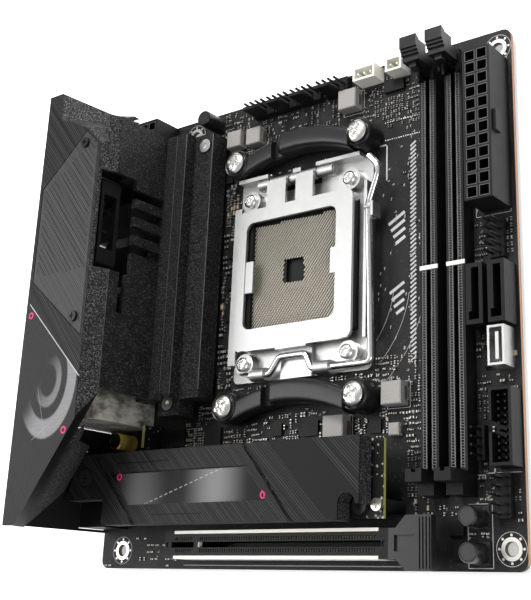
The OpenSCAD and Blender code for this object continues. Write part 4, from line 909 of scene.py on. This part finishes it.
def screw_head(shape, centre, radius, height, recess, depth, lobes, turn):
    """Domed head with a recess: z(r, a) = h (1 - 0.42 (r/R)^4), less d inside the recess; the
    recess is a cross of two arms for 4 lobes, else r < s (0.86 + 0.14 cos(lobes a))."""
    rings = np.concatenate([np.linspace(0, radius * 0.8, 17)[1:],
                            radius * np.array([0.9, 0.96, 1.0])])
    a = angles(48)
    r, ang = np.meshgrid(rings, a, indexing="ij")
    z = height * (1 - 0.42 * (r / radius) ** 4)
    if lobes == 4:
        u, v = np.abs(r * np.cos(ang - turn)), np.abs(r * np.sin(ang - turn))
        inside = np.maximum(np.minimum(u, v) - recess * 0.16, np.maximum(u, v) - recess)
    else:
        inside = r - recess * (0.86 + 0.14 * np.cos(lobes * (ang - turn)))
    z = z - depth * (1 / (1 + np.exp(np.clip(inside / 0.06, -30, 30))))
    dome = np.stack([r * np.cos(ang), r * np.sin(ang), z], -1).reshape(-1, 3)
    foot = rows(radius * np.cos(a), radius * np.sin(a), 0.0)
    points = np.concatenate([[[0, 0, height - depth]], dome, foot, [[0, 0, 0]]])
    m = len(a)
    i = np.arange(m)
    k = (i + 1) % m
    rim = 1 + len(rings) * m
    quads = [np.stack([1 + (j + 1) * m + i, 1 + (j + 1) * m + k, 1 + j * m + k, 1 + j * m + i],
                      -1) for j in range(len(rings))]
    tris = [np.stack([0 * i, 1 + i, 1 + k], -1), np.stack([0 * i + rim + m, rim + k, rim + i], -1)]
    shape.copies([centre], points, [np.concatenate(quads), np.concatenate(tris)])


def screws():
    """Cooler bracket screws with crossed recesses and frame screws with six-lobed ones."""
    for name, node, apart, z, head, shank in (
            ("bracket_screw_heads", "cooler_bracket_screws", (27, 45), 7.8,
             (4.0, 2.35, 2.5, 1.1, 4, 0.5, 0.7), (-3.4, 1.6, 11.4, 20)),
            ("socket_screw_heads", "socket_screws", (21.8, 30.2), 4.31,
             (2.49, 1.98, 1.4, 1.0, 6, 0.0, 0.3), (-3.55, 1.5, 8, 16))):
        radius, height, recess, depth, lobes, turn, turn_step = head
        foot, shank_r, length, sides = shank
        shape = Shape()
        spots = [[SOCKET[0] + sx * apart[0], SOCKET[1] + sy * apart[1], z]
                 for sx in (-1, 1) for sy in (-1, 1)]
        for n, spot in enumerate(spots):
            screw_head(shape, spot, radius, height, recess, depth, lobes, turn + turn_step * n)
        shape.turned([[x, y, foot] for x, y, _ in spots],
                     [(0, 0), (shank_r, 0), (shank_r, length), (0, length)], sides)
        put(name, shape, ["bright_screw"], stands_for=(node,))


def brackets():
    """Cooler brackets: two turned bosses joined by a low arm and a raised, rounded beam that
    follow the arc y = y0 + 3.3 - (R - sqrt(R^2 - (x - xm)^2)), R = 60."""
    boss = [(0, 0), (5.3, 0), (5.38, 0.3), (5.38, 7.6), (5.2, 8.3), (4.85, 8.56), (4.5, 8.4),
            (4.38, 7.85), (0, 7.82)]
    bend = 60.0

    def span(shape, y0, x0, x1, low, high, width, round_end):
        t = np.linspace(0, 1, 44)
        x = x0 + (x1 - x0) * t
        y = y0 + 3.3 - (bend - np.sqrt(bend ** 2 - (x - SOCKET[0]) ** 2))
        end = np.ones_like(t)
        if round_end:
            d = np.clip((x - x0) / 3.2, 0, 1)
            end = np.sqrt(np.clip(1 - (1 - d) ** 2, 0.02, 1))
        middle = np.column_stack([x, y, (low + high) / 2 - (1 - end) * (high - low) * 0.2])
        shape.loft(middle, width * (0.55 + 0.45 * end), (high - low) / 2 * (0.5 + 0.5 * end))

    for name, y0, node in (("bracket_upper", 142.9, "cooler_bracket_top"),
                           ("bracket_lower", 52.9, "cooler_bracket_bottom")):
        shape = Shape()
        shape.turned([[61.9, y0, 0], [115.9, y0, 0]], boss, 56)
        span(shape, y0, 64.0, 78.0, 2.0, 8.0, 3.6, False)
        span(shape, y0, 73.0, 86.0, 1.0, 5.6, 3.5, False)
        span(shape, y0, 81.2, 113.0, 1.5, 10.5, 3.9, True)
        put(name, shape, ["satin_plastic"], stands_for=(node,), smooth=0.75)


# middle x, y, then radius and height, or width, depth and height
CANS = [(155.3, 15, 3.0, 8.2), (155.3, 5, 3.0, 8.2), (45, 165.3, 3.1, 9.5)]
COILS = [(56.6, 155.6, 6.6, 6.6, 4.6), (66, 154.8, 6.6, 6.6, 4.6), (108.7, 158.5, 7.4, 7.4, 5),
         (127.6, 53, 7.4, 7.4, 5), (105.7, 43.6, 8, 8, 5), (127.2, 42, 4, 4, 2.6)]


def capacitors():
    """Turned cans: rounded crimp, groove, dished top."""
    def can(r, h):
        return [(0, 0), (r * 0.96, 0), (r, 0.3), (r, h * 0.1), (r * 0.93, h * 0.16),
                (r * 0.93, h * 0.2), (r, h * 0.26), (r, h - 0.7), (r * 0.97, h - 0.3),
                (r * 0.88, h - 0.02), (r * 0.8, h - 0.02), (r * 0.76, h - 0.18), (0, h - 0.18)]
    shape = Shape()
    for x, y, r, h in CANS:
        shape.turned([[x, y, 0]], can(r, h), 40)
        shape.box(x - r - 0.2, x + r + 0.2, y - r - 0.2, y + r + 0.2, 0, 0.5, 0.1)
    put("capacitor_cans", shape, ["capacitor_sleeve"], stands_for=("electrolytic_capacitors",))
    shape = Shape()
    shape.turned([[10.8, 44.3, 0]], can(3, 9), 40)
    put("gold_capacitor", shape, ["gold_sleeve"], stands_for=("audio_capacitor",))


def coils():
    """Square power inductors: bevelled body on a thin foot with tinned ends."""
    shape = Shape()
    for x, y, w, d, h in COILS:
        shape.blocks([[x, y, 0.35]], [w, d, h - 0.35], chamfer=0.32)
        shape.blocks([[x, y, 0]], [w - 0.2, d - 0.2, 0.36], slot=1)
        for side in (-1, 1):
            shape.blocks([[x + side * (w / 2 - 0.05), y, 0]], [0.3, d * 0.55, h * 0.55], slot=2)
    put("coil_blocks", shape, ["ferrite", "black_plastic", "tin"], stands_for=("inductors",))


def vent_panel():
    """Thin bevelled panel over the fan, with rows of short dashes that run down to the right."""
    shape = Shape()
    outline = [[0.75, 97.05], [28.85, 74.3], [28.45, 145.5], [22.0, 151.8], [0.75, 132.9]]
    shape.prism(outline, 45.2, 45.99, 0.22)
    turn = math.radians(-50.6)
    i, j = np.meshgrid(np.arange(-60, 60), np.arange(-40, 40), indexing="ij")
    along, across = i * 1.25 + 0.35 * (j % 2), j * 1.75
    x = (14 + along * math.cos(turn) - across * math.sin(turn)).ravel()
    y = (118 + along * math.sin(turn) + across * math.cos(turn)).ravel()
    row = j.ravel()
    keep = (x > 2.4) & (x < 27.2) & (y > 98.5 + np.maximum(0, (8 - x)) * 0.4) & \
        (y < 131 + 0.62 * x) & (y > 100 - 0.45 * x) & (y > 91 + 0.2 * x)
    long = 0.78 + 0.32 * np.sin(row * 1.9 + along.ravel() * 0.21)
    # the dashes are near-black marks painted as the shadow inside the vent slits
    shape.blocks(rows(x, y, 45.9)[keep], rows(long, 0.5, 0.1)[keep], turn, slot=1)
    put("vent_panel", shape, [PANEL, SLOT], stands_for=("io_vent_plate",), smooth=0.3)


POWER_TOP = 12.77       # top of the power connectors' shells


def connector_rim_highlights():
    """Thin lips round the mouths of the two power connectors, painted light grey as edge
    highlights.
    """
    shape = Shape()
    for xs, ys in (((161.6, 165.8), 110.1 + 4.2 * np.arange(12)),
                   (8.4 + 4.2 * np.arange(4), np.array([162.2, 166.4]))):
        for cx in xs:
            for side in (-1, 1):
                shape.blocks(rows(cx, ys + side * 1.66, POWER_TOP), [3.5, 0.16, 0.05])
                shape.blocks(rows(cx + side * 1.66, ys, POWER_TOP), [0.16, 3.2, 0.05])
    put("connector_rim_highlights", shape, [RIB_GREY_AND_RIM_HIGHLIGHT], smooth=0.3)


def milled_edges():
    """Thin bright bevels where the heatsink's ledges were milled."""
    shape = Shape()

    def edge(x, z, y0, y1, s=0.22):
        shape.blocks([[x, (y0 + y1) / 2, z - s * 0.6]], [s, y1 - y0, s * 0.7])

    edge(32.42, 38.98, 57.4, 99)
    edge(32.42, 38.98, 135.6, 157.4, 0.12)
    edge(42.42, 14.98, 58, 157)
    edge(51.22, 9.98, 60, 157)
    edge(37.6, 14.99, 58, 157, 0.12)
    put("milled_edges", shape, [BRIGHT_EDGE], smooth=0.3)


chip_parts()
solder_dots()
hole_rings()
printed_marks()
memory_contacts()
slot_contacts()
socket_pins()
lever()
brackets()
screws()
capacitors()
coils()
milled_edges()
vent_panel()
connector_rim_highlights()

# ---------------------------------------------------------------- stage, light, camera

FLOOR_HALF = 3.0
PIN_TIPS = -0.0022      # lowest point of the underside, metres
AIM = (0.07, 0.08, 0)   # where the lamps point


def studio():
    """Pale paper floor just under the board, a grey-to-white sky and three soft lamps."""
    floor_z = min(cad_bounds[0][2], PIN_TIPS) - 0.0002
    mesh = bpy.data.meshes.new("floor")
    mesh.from_pydata([(x * FLOOR_HALF, y * FLOOR_HALF, floor_z)
                      for x, y in ((-1, -1), (1, -1), (1, 1), (-1, 1))], [], [(0, 1, 2, 3)])
    floor = bpy.data.objects.new("floor", mesh)
    bpy.context.scene.collection.objects.link(floor)
    f = Finish("floor_paper")
    tint = f.noise(f.place()[-1], 0.01, 1.0)
    f.close(f.blend(tint, grey(0.93), grey(0.95)), 0.9, glow=0.45)
    mesh.materials.append(f.material)

    world = bpy.data.worlds.new("soft_box")
    bpy.context.scene.world = world
    world.use_nodes = True
    nodes, links = world.node_tree.nodes, world.node_tree.links
    coords = nodes.new("ShaderNodeTexCoord")
    split = nodes.new("ShaderNodeSeparateXYZ")
    ramp = nodes.new("ShaderNodeValToRGB")
    ramp.color_ramp.elements[0].position = 0.0
    ramp.color_ramp.elements[0].color = (0.25, 0.25, 0.25, 1)
    ramp.color_ramp.elements[1].position = 0.75
    ramp.color_ramp.elements[1].color = (1, 1, 1, 1)
    links.new(coords.outputs["Generated"], split.inputs[0])
    links.new(split.outputs[2], ramp.inputs[0])
    links.new(ramp.outputs[0], nodes["Background"].inputs[0])
    nodes["Background"].inputs[1].default_value = 0.5

    def lamp(name, place, size, power):
        data = bpy.data.lights.new(name, "AREA")
        data.shape = "RECTANGLE"
        data.size, data.size_y = size
        data.energy = power
        obj = bpy.data.objects.new(name, data)
        back = np.array(place, float) - np.array(AIM, float)
        back /= np.linalg.norm(back)
        right = np.cross((0.0, 0.0, 1.0), back)
        right /= np.linalg.norm(right)
        up = np.cross(back, right)
        m = Matrix.Identity(4)
        for i in range(3):
            m[i][0], m[i][1], m[i][2], m[i][3] = right[i], up[i], back[i], place[i]
        obj.matrix_world = m
        bpy.context.scene.collection.objects.link(obj)

    lamp("key", (0.1, 0.75, 0.75), (0.4, 0.3), 10.0)
    lamp("fill", (0.9, -0.35, 0.5), (0.5, 0.4), 3.0)
    lamp("rear", (-0.6, 0.1, 0.7), (0.6, 0.6), 4.5)


def camera():
    """A long lens above and to the right of the board, looking down its long side."""
    data = bpy.data.cameras.new("view")
    data.sensor_fit = "AUTO"
    data.sensor_width = 36.0
    data.lens = 65.09
    data.shift_x = -0.0766
    data.shift_y = -0.1021
    data.clip_start = 0.01
    obj = bpy.data.objects.new("view", data)
    obj.matrix_world = Matrix((
        (0.8047, 0.1660, 0.5701, 0.297751),
        (0.0282, 0.9484, -0.3159, -0.015127),
        (-0.5931, 0.2703, 0.7584, 0.289536),
        (0, 0, 0, 1)))
    bpy.context.scene.collection.objects.link(obj)
    bpy.context.scene.camera = obj


bpy.context.scene.view_settings.view_transform = "Standard"
studio()
camera()
